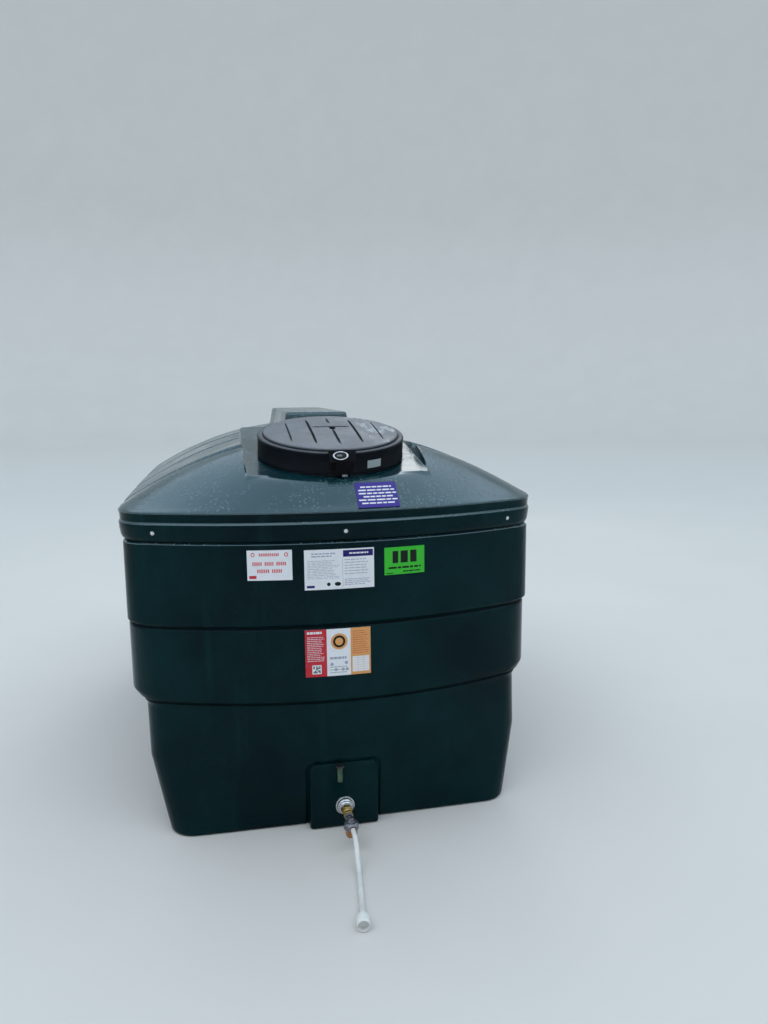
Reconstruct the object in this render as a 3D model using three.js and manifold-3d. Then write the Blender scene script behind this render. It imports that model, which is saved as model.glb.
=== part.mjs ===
// Bunded plastic fuel storage tank on a flat base, with a hinged hatch lid and a bottom outlet.
// Millimetres, +Z up, the outlet end faces -Y, origin at the middle of the footprint on the ground.

import * as THREE from "three";
import { mergeVertices } from "three/addons/utils/BufferGeometryUtils.js";
import Module from "manifold-3d";

const wasm = await Module();
wasm.setup();

// Driving dimensions
const RIM_HALF_WIDTH = 755;
const RIM_HALF_LENGTH = 1140;
const END_BOW = 187.5;
const SIDE_BOW = 8;
const RIM_CORNER = 166;
const SHOULDER_Z = 1139;
const CREST_Z = 1382;
const SEAT_GAP = 0.3;

// Tank walls
const BUND_WALL = 10;
const ROOF_WALL = 8;
const INNER_WALL = 8;

// Roof skirt: a band that turns in at its foot, a small ledge, and an upright strip up to the shoulder
const SKIRT_BOTTOM_Z = 1038;
const SKIRT_KNEE_Z = 1056;
const SKIRT_BAND_TOP_Z = 1093;
const SKIRT_LEDGE_Z = 1101;
const SKIRT_UPPER_INSET = 3;
const SKIRT_KNEE_INSET = 4.5;
const SKIRT_BOTTOM_INSET = 11.5;
const SKIRT_INNER_INSET = 14;

// Roof dome: a vault across the width and a hip at each end, bowed more the higher it is
const SECTION_POWER = 2.05;
const HIP_POWER = 1.88;
const HIP_LENGTH = 452;
const HIP_BOW_GAIN = 0.19;
const DOME_LEVELS = [0, 0.06, 0.15, 0.33, 0.52, 0.7, 0.86, 0.98];
const GROOVE_YS = [-720, -240, 240, 720];
const GROOVE_WIDTH = 60;
const GROOVE_DEPTH = 14;

// Raised spine on the roof behind the hatch, rising a little towards the back
const SPINE_X = 26.5;
const SPINE_FRONT_Y = -236;
const SPINE_BACK_Y = 706;
const SPINE_FRONT_TOP_Z = 1449;
const SPINE_RISE = 11;
const SPINE_HALF_WIDTH = 151;
const SPINE_CORNER = 30;
const SPINE_DRAFT = 18;
const SPINE_CHAMFER = 10;

// Hatch platform, tilted towards the outlet end
const HATCH_X = 10.7;
const HATCH_Y = -742;
const HATCH_Z = 1294;
const HATCH_TILT = THREE.MathUtils.degToRad(12);
const PLATFORM_HALF_WIDTH = 320;
const PLATFORM_BACK = 458;
const PLATFORM_PROUD_FROM = -240;
const PLATFORM_FRONT = -420;
const HATCH_HOLE_RADIUS = 226;
const NECK_OUTER = 240;
const NECK_INNER = 218;
const NECK_HEIGHT = 52;

// Hatch lid
const LID_SEGMENTS = 44;
const LID_RADIUS = 272;
const LID_HEIGHT = 91;
const LID_SKIRT_GAP = 6;
const LID_SKIRT_WALL = 6;
const LID_RIM_Z = 84;
const LID_DISC_RADIUS = 249;
const LID_CROWN = 8;
const LID_TOP_WALL = 4;
const LID_RIB_INSET = 4;
const LID_PATTERN_X = 8;
const LID_GROOVE_OFFSETS = [-166, -83, 83, 166];
const LID_GROOVE_REACH = 0.72;
const SLOT_HALF_WIDTH = 4;
const FRONT_SLOT_YS = [-184, -22];
const BACK_SLOT_YS = [108, 198];
const CROSS_SLOT_XS = [-66, 62];
const CROSS_SLOT_YS = [40, 48];
const POCKET_XS = [-10, 12];
const POCKET_YS = [-12, 41];

// Lid hinge
const HINGE_Y = 300;
const HINGE_Z = 30;
const HINGE_EYE_RADIUS = 14;
const HINGE_PIN_RADIUS = 5;
const HINGE_BORE_RADIUS = 5.15;
const BASE_KNUCKLE_X = 35;
const KNUCKLE_WIDTH = 28;
const KNUCKLE_GAP = 6;
const PIN_OVERHANG = 4;
const ARM_ROOT_Y = 234.5;

// Clasp: a wide plate over the lid's edge, and a narrower tongue down the lid's skirt
const CLASP_WIDTH = 95;
const CLASP_DEPTH = 26;
const CLASP_TOP_Z = 95;
const CLASP_PLATE_Z = 55;
const CLASP_SLOPE_DROP = 34;
const CLASP_SLOPE_START = 2;
const CLASP_OVERLAP = 12;
const TONGUE_WIDTH = 54;
const TONGUE_DEPTH = 20;
const TONGUE_BOTTOM_Z = 4;
const LOCK_RING_X = -7;
const LOCK_RING_RADIUS = 27;
const LOCK_RING_BAND = 7;
const LOCK_RING_THICKNESS = 3;
const LOCK_RING_SQUASH = 0.58;

// Bottom outlet: a string of fittings that ends in a filter
const GLAND_LENGTH = 34;
const NUT_LENGTH = 16;
const UNION_LENGTH = 16.4;
const COLLAR_LENGTH = 12;
const OUTLET_X = -14;
const OUTLET_Z = 84;
const PAD_HALF_WIDTH = 122;
const PAD_TOP_Z = 242;
const PAD_FRONT_Y = -1108;
const PAD_DEPTH = 90;
const PAD_CORNER = 12;
const FILTER_OUT = 136;
const FILTER_RADIUS = 25.5;
const FILTER_BOSS_REACH = 26;
const FILTER_BOSS_LENGTH = 16;
const STUB_LENGTH = 9.6;

// Supply hose, from the outlet's end to its socket on the ground
const HOSE_RADIUS = 8;
const HOSE_STEPS = 26;
const HOSE_SIDES = 12;
const HOSE_ROUTE = [
  [-14, -1279.8, 84],
  [-14, -1290, 84],
  [-14, -1309.4, 81.4],
  [-14, -1327.5, 74],
  [-14, -1343, 62],
  [-14.2, -1355.2, 46.2],
  [-14.6, -1367.4, 30.4],
  [-15.4, -1382.9, 18.4],
  [-16.8, -1401, 11],
  [-18.8, -1420.4, 8.4],
  [-22.4, -1450, 8.4],
  [-26.2, -1480, 8.4],
  [-30.2, -1510, 8.4],
  [-34.2, -1540, 8.4],
  [-37.5, -1565, 9],
  [-39.5, -1580, 11.8],
  [-41.5, -1595, 16.8],
  [-43.5, -1610, 19.9],
  [-45.5, -1625, 20],
];
const SOCKET_RADIUS = 19.6;
const SOCKET_LENGTH = 46;
const SOCKET_SHOULDER = 6;

// Farthest reach of the outlet fittings, and of the screw heads at the other end
const OUTLET_REACH = 1279.5;
const REAR_REACH = 1142.5;

// The walls, from the base up: height, half width, half length, end bow, corner radius
const BUND_SECTIONS = [
  [0, 620, 1060, 8, 88],
  [8, 626, 1064, 8, 94],
  [264, 684, 1112, 130, 106],
  [450, 689, 1117, 165, 110],
  [466, 702, 1117.5, 166, 126],
  [470, 704, 1113, 164, 126],
  [474, 708, 1113, 164, 130],
  [478, 716, 1121, 167, 140],
  [500, 737, 1121, 168, 166],
  [732, 739, 1122, 172, 166],
  [737, 733, 1116, 170, 160],
  [743, 733, 1116, 170, 150],
  [753, 741, 1127, 182, 110],
  [1028, 742, 1127, 184, 110],
  [1031, 737, 1121, 181, 136],
  [1036, 737, 1121, 181, 136],
  [1040, 740.7, 1125.7, 181.8, 151.7],
  [1120, 740.7, 1125.7, 181.8, 151.7],
];
const BUND_FLOOR_Z = 12;

// Inner tank, held clear of the bund all round
const INNER_SECTIONS = [
  [BUND_FLOOR_Z + SEAT_GAP, 556, 1004, 8, 80],
  [264, 616, 1050, 118, 90],
  [440, 618, 1054, 140, 90],
  [500, 650, 1066, 160, 90],
  [1040, 656, 1066, 160, 90],
  [1110, 620, 1020, 150, 90],
  [1160, 500, 930, 110, 90],
  [1180, 340, 800, 60, 90],
];
const MANHOLE_RADIUS = 196;
const MANHOLE_TOP = -24;

// Sight tube on the pad
const SPIGOT_X = -31;
const SPIGOT_RADIUS = 10;
const SPIGOT_FOOT_Z = 176;
const SPIGOT_TOP_Z = 233;
const SPIGOT_CAP_RADIUS = 15;

// Screws through the skirt
const SCREW_Z = 1068;
const SCREW_HEAD_RADIUS = 7.5;
const SCREW_HEAD_HEIGHT = 4;
const SCREW_SEAT = 0.8;
const END_SCREW_XS = [-627, 2, 615];
const SIDE_SCREW_YS = [-840, -280, 280, 840];

// Labels: name, centre x, centre z, width, height
const LABEL_THICKNESS = 1;
const FACE_LABELS = [
  ["label_alarm", -251, 959, 147, 102],
  ["label_data", -20, 938.4, 236, 136.5],
  ["label_green", 207, 954, 145, 95],
  ["label_notice", -29, 648, 224.5, 165.4],
];

// Roof label on the front hip: from and to along X, and as shares of the dome's height
const ROOF_LABEL_X = [46, 191];
const ROOF_LABEL_SHARE = [0.014, 0.322];

// Lid sticker on the lid's skirt: degrees round the lid, and heights
const LID_STICKER_TURN = [-70, -58];
const LID_STICKER_Z = [22, 49.5];

// Finishes
const finish = (color, roughness, metalness) =>
  new THREE.MeshStandardMaterial({ color, roughness, metalness });
const GREEN_PLASTIC = finish(0x0b2b29, 0.3, 0);
const INNER_PLASTIC = finish(0x10302c, 0.5, 0);
const LID_PLASTIC = finish(0x3b3b40, 0.6, 0);
const BLACK_PLASTIC = finish(0x15151a, 0.45, 0);
const STEEL = finish(0xb9bcc0, 0.3, 1);
const BRASS = finish(0xb08d4a, 0.35, 1);
const GREY_METAL = finish(0x5d6063, 0.45, 0.8);
const AMBER = finish(0xb0703a, 0.3, 0.1);
const WHITE_LABEL = finish(0xe6e8ee, 0.4, 0);
const GREEN_LABEL = finish(0x35a835, 0.4, 0);
const PURPLE_LABEL = finish(0x4a44a0, 0.4, 0);
const PALE_GREEN = finish(0x5d8f7c, 0.4, 0);
const WHITE_PLASTIC = finish(0xe9e8e4, 0.4, 0);

const tank = new THREE.Group();
tank.position.y = (OUTLET_REACH - REAR_REACH) / 2;

const hatchFrame = new THREE.Matrix4()
  .makeTranslation(HATCH_X, HATCH_Y, HATCH_Z)
  .multiply(new THREE.Matrix4().makeRotationX(HATCH_TILT));

function addMesh(name, geometry, material) {
  const mesh = new THREE.Mesh(geometry, material);
  mesh.name = name;
  tank.add(mesh);
  return mesh;
}

// A closed three.js geometry as a solid that can be joined or cut
function solid(geometry) {
  const bare = geometry.clone();
  bare.deleteAttribute("normal");
  bare.deleteAttribute("uv");
  const merged = mergeVertices(bare, 1e-4);
  return new wasm.Manifold(
    new wasm.Mesh({
      numProp: 3,
      vertProperties: Float32Array.from(merged.attributes.position.array),
      triVerts: Uint32Array.from(merged.index.array),
    }),
  );
}

function geometryOf(shape) {
  const mesh = shape.getMesh();
  const geometry = new THREE.BufferGeometry();
  geometry.setAttribute("position", new THREE.BufferAttribute(mesh.vertProperties, 3));
  geometry.setIndex(new THREE.BufferAttribute(mesh.triVerts, 1));
  return geometry;
}

const join = (shapes) => shapes.reduce((whole, shape) => whole.add(shape));

function box(x0, x1, y0, y1, z0, z1) {
  const geometry = new THREE.BoxGeometry(x1 - x0, y1 - y0, z1 - z0);
  return geometry.translate((x0 + x1) / 2, (y0 + y1) / 2, (z0 + z1) / 2);
}

// A turned body about +Z from [radius, height] points, closed on the axis or on itself
function turned(points, segments = 48) {
  const profile = points.map(([radius, height]) => new THREE.Vector2(radius, height));
  return new THREE.LatheGeometry(profile, segments).rotateX(Math.PI / 2);
}

const ring = (inner, outer, z0, z1, segments) =>
  turned([[inner, z0], [outer, z0], [outer, z1], [inner, z1], [inner, z0]], segments);

const disc = (radius, z0, z1, segments) =>
  turned([[0, z0], [radius, z0], [radius, z1], [0, z1]], segments);

// The same turned body laid along -Y from the pad face, at the outlet's height
const alongOutlet = (geometry) =>
  geometry.rotateX(Math.PI / 2).translate(OUTLET_X, PAD_FRONT_Y, OUTLET_Z);

// Corner circle that touches the end arc and the side arc from inside
function cornerCentre(endCentre, endReach, sideCentre, sideReach) {
  const span = new THREE.Vector2().subVectors(sideCentre, endCentre);
  const distance = span.length();
  const along = (endReach ** 2 - sideReach ** 2 + distance ** 2) / (2 * distance);
  const across = Math.sqrt(endReach ** 2 - along ** 2);
  const unit = span.divideScalar(distance);
  const foot = endCentre.clone().addScaledVector(unit, along);
  const side = new THREE.Vector2(-unit.y, unit.x);
  const options = [foot.clone().addScaledVector(side, across), foot.clone().addScaledVector(side, -across)];
  return options.find((point) => point.x > 0 && point.y < 0);
}

// A plan outline with bowed ends and sides and round corners, inset evenly where asked
function outline(halfWidth, halfLength, endBow, corner, inset = 0) {
  const endRadius = (halfWidth ** 2 + endBow ** 2) / (2 * endBow) - inset;
  const sideRadius = (halfLength ** 2 + SIDE_BOW ** 2) / (2 * SIDE_BOW) - inset;
  const radius = corner - inset;
  const endCentre = new THREE.Vector2(0, -(halfLength - inset) + endRadius);
  const sideCentre = new THREE.Vector2(halfWidth - inset - sideRadius, 0);
  const centre = cornerCentre(endCentre, endRadius - radius, sideCentre, sideRadius - radius);
  const turn = (from) => Math.atan2(centre.x - from.x, -(centre.y - from.y));
  const arcs = [
    [endCentre, endRadius, 0, turn(endCentre), 5],
    [centre, radius, turn(endCentre), turn(sideCentre), 4],
    [sideCentre, sideRadius, turn(sideCentre), Math.PI / 2, 3],
  ];
  const quarter = [];
  for (const [middle, size, from, to, steps] of arcs) {
    for (let step = 0; step < steps; step += 1) {
      const angle = from + ((to - from) * step) / steps;
      quarter.push([middle.x + size * Math.sin(angle), middle.y - size * Math.cos(angle)]);
    }
  }
  const right = [...quarter, [halfWidth - inset, 0], ...mirror(quarter.slice(1), 1, -1)];
  const back = [0, halfLength - inset];
  return [...right, back, ...mirror(right.slice(1), -1, 1)];
}

const mirror = (points, sx, sy) => points.map(([x, y]) => [x * sx, y * sy]).reverse();

// A closed body through stacked outlines, each [z, points]
function loft(layers) {
  const count = layers[0][1].length;
  const positions = [];
  for (const [z, points] of layers) {
    for (const [x, y] of points) positions.push(x, y, z);
  }
  const index = [];
  for (let layer = 0; layer + 1 < layers.length; layer += 1) {
    for (let i = 0; i < count; i += 1) {
      const a = layer * count + i;
      const b = layer * count + ((i + 1) % count);
      index.push(a, b, b + count, a, b + count, a + count);
    }
  }
  const bottomCentre = positions.length / 3;
  positions.push(0, 0, layers[0][0]);
  const topCentre = bottomCentre + 1;
  positions.push(0, 0, layers.at(-1)[0]);
  const lastStart = (layers.length - 1) * count;
  for (let i = 0; i < count; i += 1) {
    const next = (i + 1) % count;
    index.push(bottomCentre, next, i);
    index.push(topCentre, lastStart + i, lastStart + next);
  }
  const geometry = new THREE.BufferGeometry();
  geometry.setAttribute("position", new THREE.Float32BufferAttribute(positions, 3));
  geometry.setIndex(index);
  return geometry;
}

const sectionLayers = (sections, inset = 0) =>
  sections.map(([z, width, length, bow, corner]) => [z, outline(width, length, bow, corner, inset)]);

// Bund: the outer tank with its stepped walls, open at the top
function bundShell() {
  const outer = solid(loft(sectionLayers(BUND_SECTIONS)));
  const inner = sectionLayers(BUND_SECTIONS, BUND_WALL);
  inner[0] = [BUND_FLOOR_Z, inner[1][1]];
  inner.splice(1, 1);
  inner.at(-1)[0] += BUND_WALL;
  const padRing = roundedRectangle(PAD_HALF_WIDTH, PAD_FRONT_Y, PAD_FRONT_Y + PAD_DEPTH, PAD_CORNER);
  const pad = solid(
    loftAbout([[0, padRing], [PAD_TOP_Z, padRing]], PAD_FRONT_Y + PAD_DEPTH / 2).translate(OUTLET_X, 0, 0),
  );
  return geometryOf(outer.add(pad).subtract(solid(loft(inner))));
}

function roundedRectangle(halfWidth, y0, y1, radius) {
  const corners = [
    [halfWidth - radius, y0 + radius, -90],
    [halfWidth - radius, y1 - radius, 0],
    [radius - halfWidth, y1 - radius, 90],
    [radius - halfWidth, y0 + radius, 180],
  ];
  const points = [];
  for (const [x, y, start] of corners) {
    for (let step = 0; step <= 3; step += 1) {
      const angle = THREE.MathUtils.degToRad(start + step * 30);
      points.push([x + radius * Math.cos(angle), y + radius * Math.sin(angle)]);
    }
  }
  return points;
}

// Half width, half length, end bow and height of the roof's dome, from the shoulder (0) to the crest (1)
function domeSize(share) {
  const width = RIM_HALF_WIDTH * (1 - share) ** (1 / SECTION_POWER);
  const length = RIM_HALF_LENGTH - HIP_LENGTH * (1 - (1 - share) ** (1 / HIP_POWER));
  const bow = width * (END_BOW / RIM_HALF_WIDTH + HIP_BOW_GAIN * Math.sqrt(share));
  return [width, length, bow, SHOULDER_Z + (CREST_Z - SHOULDER_Z) * share];
}

function domeLayer(share, inset) {
  const [width, length, bow, z] = domeSize(share);
  return [z - inset, outline(width, length, bow, Math.min(RIM_CORNER, 0.8 * width), inset)];
}

const dome = (inset, footZ) => {
  const layers = DOME_LEVELS.map((share) => domeLayer(share, inset));
  return solid(loft([[footZ, layers[0][1]], ...layers]));
};

// The dome with its cross grooves; the raised panels stand between the grooves
function groovedDome(inset, footZ) {
  const edges = [-RIM_HALF_LENGTH, ...GROOVE_YS, RIM_HALF_LENGTH];
  const half = GROOVE_WIDTH / 2 + inset;
  const slabs = edges.slice(1).map((edge, i) => {
    const from = i === 0 ? edges[0] - 10 : edges[i] + half;
    const to = i === edges.length - 2 ? edge + 10 : edge - half;
    return solid(box(-RIM_HALF_WIDTH - 10, RIM_HALF_WIDTH + 10, from, to, footZ, CREST_Z + 10));
  });
  return dome(inset + GROOVE_DEPTH, footZ).add(dome(inset, footZ).intersect(join(slabs)));
}

function spine(inset, footZ) {
  const layer = (z, shrink) => [
    z,
    roundedRectangle(
      SPINE_HALF_WIDTH - shrink - inset,
      SPINE_FRONT_Y + shrink + inset,
      SPINE_BACK_Y - shrink - inset,
      SPINE_CORNER - inset,
    ),
  ];
  const level = loftAbout(
    [
      layer(footZ, 0),
      layer(SPINE_FRONT_TOP_Z - SPINE_CHAMFER - inset, SPINE_DRAFT),
      layer(SPINE_FRONT_TOP_Z - inset, SPINE_DRAFT + SPINE_CHAMFER),
    ],
    (SPINE_FRONT_Y + SPINE_BACK_Y) / 2,
  );
  const slope = SPINE_RISE / (SPINE_BACK_Y - SPINE_FRONT_Y);
  const tilt = new THREE.Matrix4().makeShear(0, 0, 0, slope, 0, 0);
  return solid(level.applyMatrix4(tilt).translate(SPINE_X, 0, -slope * SPINE_FRONT_Y));
}

// A loft whose caps fan out from a middle away from the origin
function loftAbout(layers, middleY) {
  const moved = layers.map(([z, points]) => [z, points.map(([x, y]) => [x, y - middleY])]);
  return loft(moved).translate(0, middleY, 0);
}

const onHatch = (geometry) => solid(geometry.applyMatrix4(hatchFrame));

const rimRing = (inset) => outline(RIM_HALF_WIDTH, RIM_HALF_LENGTH, END_BOW, RIM_CORNER, inset);

// Roof moulding: skirt, grooved dome, tilted hatch platform with its opening, and the spine
function roofCover() {
  const skirt = solid(
    loft([
      [SKIRT_BOTTOM_Z, rimRing(SKIRT_BOTTOM_INSET)],
      [SKIRT_KNEE_Z, rimRing(SKIRT_KNEE_INSET)],
      [SKIRT_BAND_TOP_Z, rimRing(0)],
      [SKIRT_LEDGE_Z, rimRing(SKIRT_UPPER_INSET)],
      [SHOULDER_Z - SKIRT_UPPER_INSET, rimRing(SKIRT_UPPER_INSET)],
      [SHOULDER_Z, rimRing(0)],
    ]),
  );
  const skirtHollow = solid(
    loft([
      [SKIRT_BOTTOM_Z - 10, rimRing(SKIRT_INNER_INSET)],
      [SHOULDER_Z - ROOF_WALL, rimRing(SKIRT_INNER_INSET)],
    ]),
  );
  const wide = PLATFORM_HALF_WIDTH;
  const wall = ROOF_WALL;
  const recess = onHatch(box(-wide, wide, PLATFORM_FRONT, PLATFORM_BACK, 0, 200));
  const proud = onHatch(box(-wide, wide, PLATFORM_PROUD_FROM, PLATFORM_BACK, -60, 0));
  const recessInside = onHatch(
    box(-wide - wall, wide + wall, PLATFORM_FRONT - 20, PLATFORM_BACK + wall, -wall, 200),
  );
  const proudInside = onHatch(
    box(-wide + wall, wide - wall, PLATFORM_PROUD_FROM, PLATFORM_BACK - wall, -70, -wall),
  );
  const outer = skirt
    .add(groovedDome(0, SHOULDER_Z - 1))
    .add(spine(0, CREST_Z - 60))
    .subtract(recess)
    .add(proud);
  const inner = skirtHollow
    .add(groovedDome(wall, SHOULDER_Z - 20))
    .add(spine(wall, CREST_Z - 80))
    .subtract(recessInside)
    .add(proudInside);
  const opening = onHatch(disc(HATCH_HOLE_RADIUS, -80, 20, 48));
  return geometryOf(outer.subtract(inner).subtract(opening));
}

// Inner tank with a manhole that rises under the hatch
function innerTank() {
  const outer = solid(loft(sectionLayers(INNER_SECTIONS)));
  const inside = sectionLayers(INNER_SECTIONS, INNER_WALL);
  inside[0][0] += INNER_WALL;
  inside.at(-1)[0] -= INNER_WALL;
  const manhole = onHatch(disc(MANHOLE_RADIUS, -180, MANHOLE_TOP, 36));
  const bore = onHatch(disc(MANHOLE_RADIUS - INNER_WALL, -260, MANHOLE_TOP + 10, 36));
  return geometryOf(outer.add(manhole).subtract(solid(loft(inside))).subtract(bore));
}

// Hatch lid: a skirt, a stepped and slightly domed top, and a rib inside that sits on the neck
function hatchLid() {
  const wallRadius = LID_RADIUS - LID_SKIRT_WALL;
  const cap = solid(
    turned([
      [0, LID_RIM_Z - LID_TOP_WALL],
      [NECK_INNER + LID_RIB_INSET, LID_RIM_Z - LID_TOP_WALL],
      [NECK_INNER + LID_RIB_INSET, NECK_HEIGHT + SEAT_GAP],
      [NECK_OUTER - LID_RIB_INSET, NECK_HEIGHT + SEAT_GAP],
      [NECK_OUTER - LID_RIB_INSET, LID_RIM_Z - LID_SKIRT_WALL],
      [wallRadius, LID_RIM_Z - LID_SKIRT_WALL],
      [wallRadius, LID_SKIRT_GAP],
      [LID_RADIUS, LID_SKIRT_GAP],
      [LID_RADIUS, LID_RIM_Z - LID_TOP_WALL],
      [LID_RADIUS - LID_TOP_WALL, LID_RIM_Z],
      [LID_DISC_RADIUS + 5, LID_RIM_Z],
      [LID_DISC_RADIUS, LID_HEIGHT],
      [LID_DISC_RADIUS * 0.6, LID_HEIGHT + LID_CROWN * 0.7],
      [0, LID_HEIGHT + LID_CROWN],
    ], LID_SEGMENTS),
  );
  const slot = ([x0, x1], [y0, y1], z) =>
    solid(box(x0, x1, y0, y1, z, LID_HEIGHT + 2 * LID_CROWN).translate(LID_PATTERN_X, 0, 0));
  const lengthwise = (x, ys) => slot([x - SLOT_HALF_WIDTH, x + SLOT_HALF_WIDTH], ys, LID_HEIGHT);
  const slots = LID_GROOVE_OFFSETS.map((x) => {
    const reach = LID_GROOVE_REACH * Math.sqrt(LID_DISC_RADIUS ** 2 - (x + LID_PATTERN_X) ** 2);
    return lengthwise(x, [-reach, reach]);
  });
  const frontSlot = lengthwise(0, FRONT_SLOT_YS);
  const backSlot = lengthwise(0, BACK_SLOT_YS);
  const crossSlot = slot(CROSS_SLOT_XS, CROSS_SLOT_YS, LID_HEIGHT + 1);
  const pocket = slot(POCKET_XS, POCKET_YS, LID_HEIGHT - 1);
  const cuts = join([...slots, frontSlot, backSlot, crossSlot, pocket]);
  return geometryOf(cap.subtract(cuts)).applyMatrix4(hatchFrame);
}

// Clasp on the front of the lid: a plate with a sloping face for the lock, over a tongue
function lidClasp() {
  const front = -LID_RADIUS - CLASP_DEPTH;
  const root = -LID_RADIUS + CLASP_OVERLAP;
  const profile = new THREE.Shape([
    new THREE.Vector2(root, CLASP_PLATE_Z),
    new THREE.Vector2(front, CLASP_PLATE_Z),
    new THREE.Vector2(front, CLASP_TOP_Z - CLASP_SLOPE_DROP),
    new THREE.Vector2(-LID_RADIUS - CLASP_SLOPE_START, CLASP_TOP_Z),
    new THREE.Vector2(root, CLASP_TOP_Z),
  ]);
  const plate = solid(alongX(profile, -CLASP_WIDTH / 2, CLASP_WIDTH));
  const half = TONGUE_WIDTH / 2;
  const tongueFront = -LID_RADIUS - TONGUE_DEPTH;
  const tongue = solid(box(-half, half, tongueFront, root, TONGUE_BOTTOM_Z, CLASP_PLATE_Z + 1));
  const seat = solid(disc(LID_RADIUS + SEAT_GAP, 0, LID_RIM_Z + SEAT_GAP, LID_SEGMENTS));
  return geometryOf(plate.add(tongue).subtract(seat)).applyMatrix4(hatchFrame);
}

// A flat shape drawn in (y, z), given a width along X
function alongX(shape, x0, width) {
  const geometry = new THREE.ExtrudeGeometry(shape, { depth: width, bevelEnabled: false, curveSegments: 12 });
  const toYZ = new THREE.Matrix4().makeBasis(
    new THREE.Vector3(0, 1, 0),
    new THREE.Vector3(0, 0, 1),
    new THREE.Vector3(1, 0, 0),
  );
  return geometry.applyMatrix4(toYZ).translate(x0, 0, 0);
}

// Oval ring on the middle of the clasp's sloping face
function lockRing() {
  const slope = Math.atan2(CLASP_SLOPE_DROP, CLASP_DEPTH - CLASP_SLOPE_START);
  const middleY = -LID_RADIUS - (CLASP_DEPTH + CLASP_SLOPE_START) / 2;
  const inner = LOCK_RING_RADIUS - LOCK_RING_BAND;
  return ring(inner, LOCK_RING_RADIUS, SEAT_GAP, SEAT_GAP + LOCK_RING_THICKNESS, 36)
    .scale(1, LOCK_RING_SQUASH, 1)
    .rotateX(slope)
    .translate(LOCK_RING_X, middleY, CLASP_TOP_Z - CLASP_SLOPE_DROP / 2)
    .applyMatrix4(hatchFrame);
}

// Hinge eye with a foot reaching to footY, footZ in the platform's frame
function knuckle(x0, foot) {
  const shape = new THREE.Shape();
  foot(shape);
  const bore = new THREE.Path();
  bore.absarc(HINGE_Y, HINGE_Z, HINGE_BORE_RADIUS, 0, 2 * Math.PI, true);
  shape.holes.push(bore);
  return alongX(shape, x0, KNUCKLE_WIDTH);
}

function baseFoot(shape) {
  shape.moveTo(HINGE_Y + HINGE_EYE_RADIUS, SEAT_GAP);
  shape.lineTo(HINGE_Y + HINGE_EYE_RADIUS, HINGE_Z);
  shape.absarc(HINGE_Y, HINGE_Z, HINGE_EYE_RADIUS, 0, Math.PI, false);
  shape.lineTo(HINGE_Y - HINGE_EYE_RADIUS, SEAT_GAP);
}

function lidFoot(shape) {
  shape.moveTo(HINGE_Y, HINGE_Z - HINGE_EYE_RADIUS);
  shape.absarc(HINGE_Y, HINGE_Z, HINGE_EYE_RADIUS, -Math.PI / 2, Math.PI / 2, false);
  shape.lineTo(ARM_ROOT_Y, HINGE_Z + HINGE_EYE_RADIUS);
  shape.lineTo(ARM_ROOT_Y, HINGE_Z - HINGE_EYE_RADIUS);
}

function hinge() {
  const lidBody = solid(disc(LID_RADIUS + SEAT_GAP, 0, LID_RIM_Z, LID_SEGMENTS));
  const lidX = BASE_KNUCKLE_X + KNUCKLE_WIDTH + KNUCKLE_GAP;
  for (const [side, baseX, armX] of [
    ["left", -BASE_KNUCKLE_X - KNUCKLE_WIDTH, -lidX - KNUCKLE_WIDTH],
    ["right", BASE_KNUCKLE_X, lidX],
  ]) {
    addMesh(`hinge_base_${side}`, knuckle(baseX, baseFoot).applyMatrix4(hatchFrame), BLACK_PLASTIC);
    const arm = solid(knuckle(armX, lidFoot)).subtract(lidBody);
    addMesh(`hinge_arm_${side}`, geometryOf(arm).applyMatrix4(hatchFrame), BLACK_PLASTIC);
  }
  const reach = lidX + KNUCKLE_WIDTH + PIN_OVERHANG;
  const pin = new THREE.CylinderGeometry(HINGE_PIN_RADIUS, HINGE_PIN_RADIUS, 2 * reach, 24);
  pin.rotateZ(Math.PI / 2).translate(0, HINGE_Y, HINGE_Z).applyMatrix4(hatchFrame);
  addMesh("hinge_pin", pin, STEEL);
}

// A thin closed slab on a surface; at(u, v, lift) gives its points for u and v from 0 to 1
function patch(at, columns, rows, thickness) {
  const positions = [];
  for (const lift of [SEAT_GAP, SEAT_GAP + thickness]) {
    for (let row = 0; row <= rows; row += 1) {
      for (let column = 0; column <= columns; column += 1) {
        positions.push(...at(column / columns, row / rows, lift));
      }
    }
  }
  const wide = columns + 1;
  const sheet = wide * (rows + 1);
  const index = [];
  const quad = (a, b, c, d) => index.push(a, b, c, a, c, d);
  for (let row = 0; row < rows; row += 1) {
    for (let column = 0; column < columns; column += 1) {
      const a = row * wide + column;
      quad(sheet + a, sheet + a + 1, sheet + a + wide + 1, sheet + a + wide);
      quad(a, a + wide, a + wide + 1, a + 1);
    }
  }
  for (let column = 0; column < columns; column += 1) {
    const top = rows * wide + column;
    quad(column, column + 1, sheet + column + 1, sheet + column);
    quad(top + 1, top, sheet + top, sheet + top + 1);
  }
  for (let row = 0; row < rows; row += 1) {
    const left = row * wide;
    const right = left + columns;
    quad(left + wide, left, sheet + left, sheet + left + wide);
    quad(right, right + wide, sheet + right + wide, sheet + right);
  }
  const geometry = new THREE.BufferGeometry();
  geometry.setAttribute("position", new THREE.Float32BufferAttribute(positions, 3));
  geometry.setIndex(index);
  return geometry;
}

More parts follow.
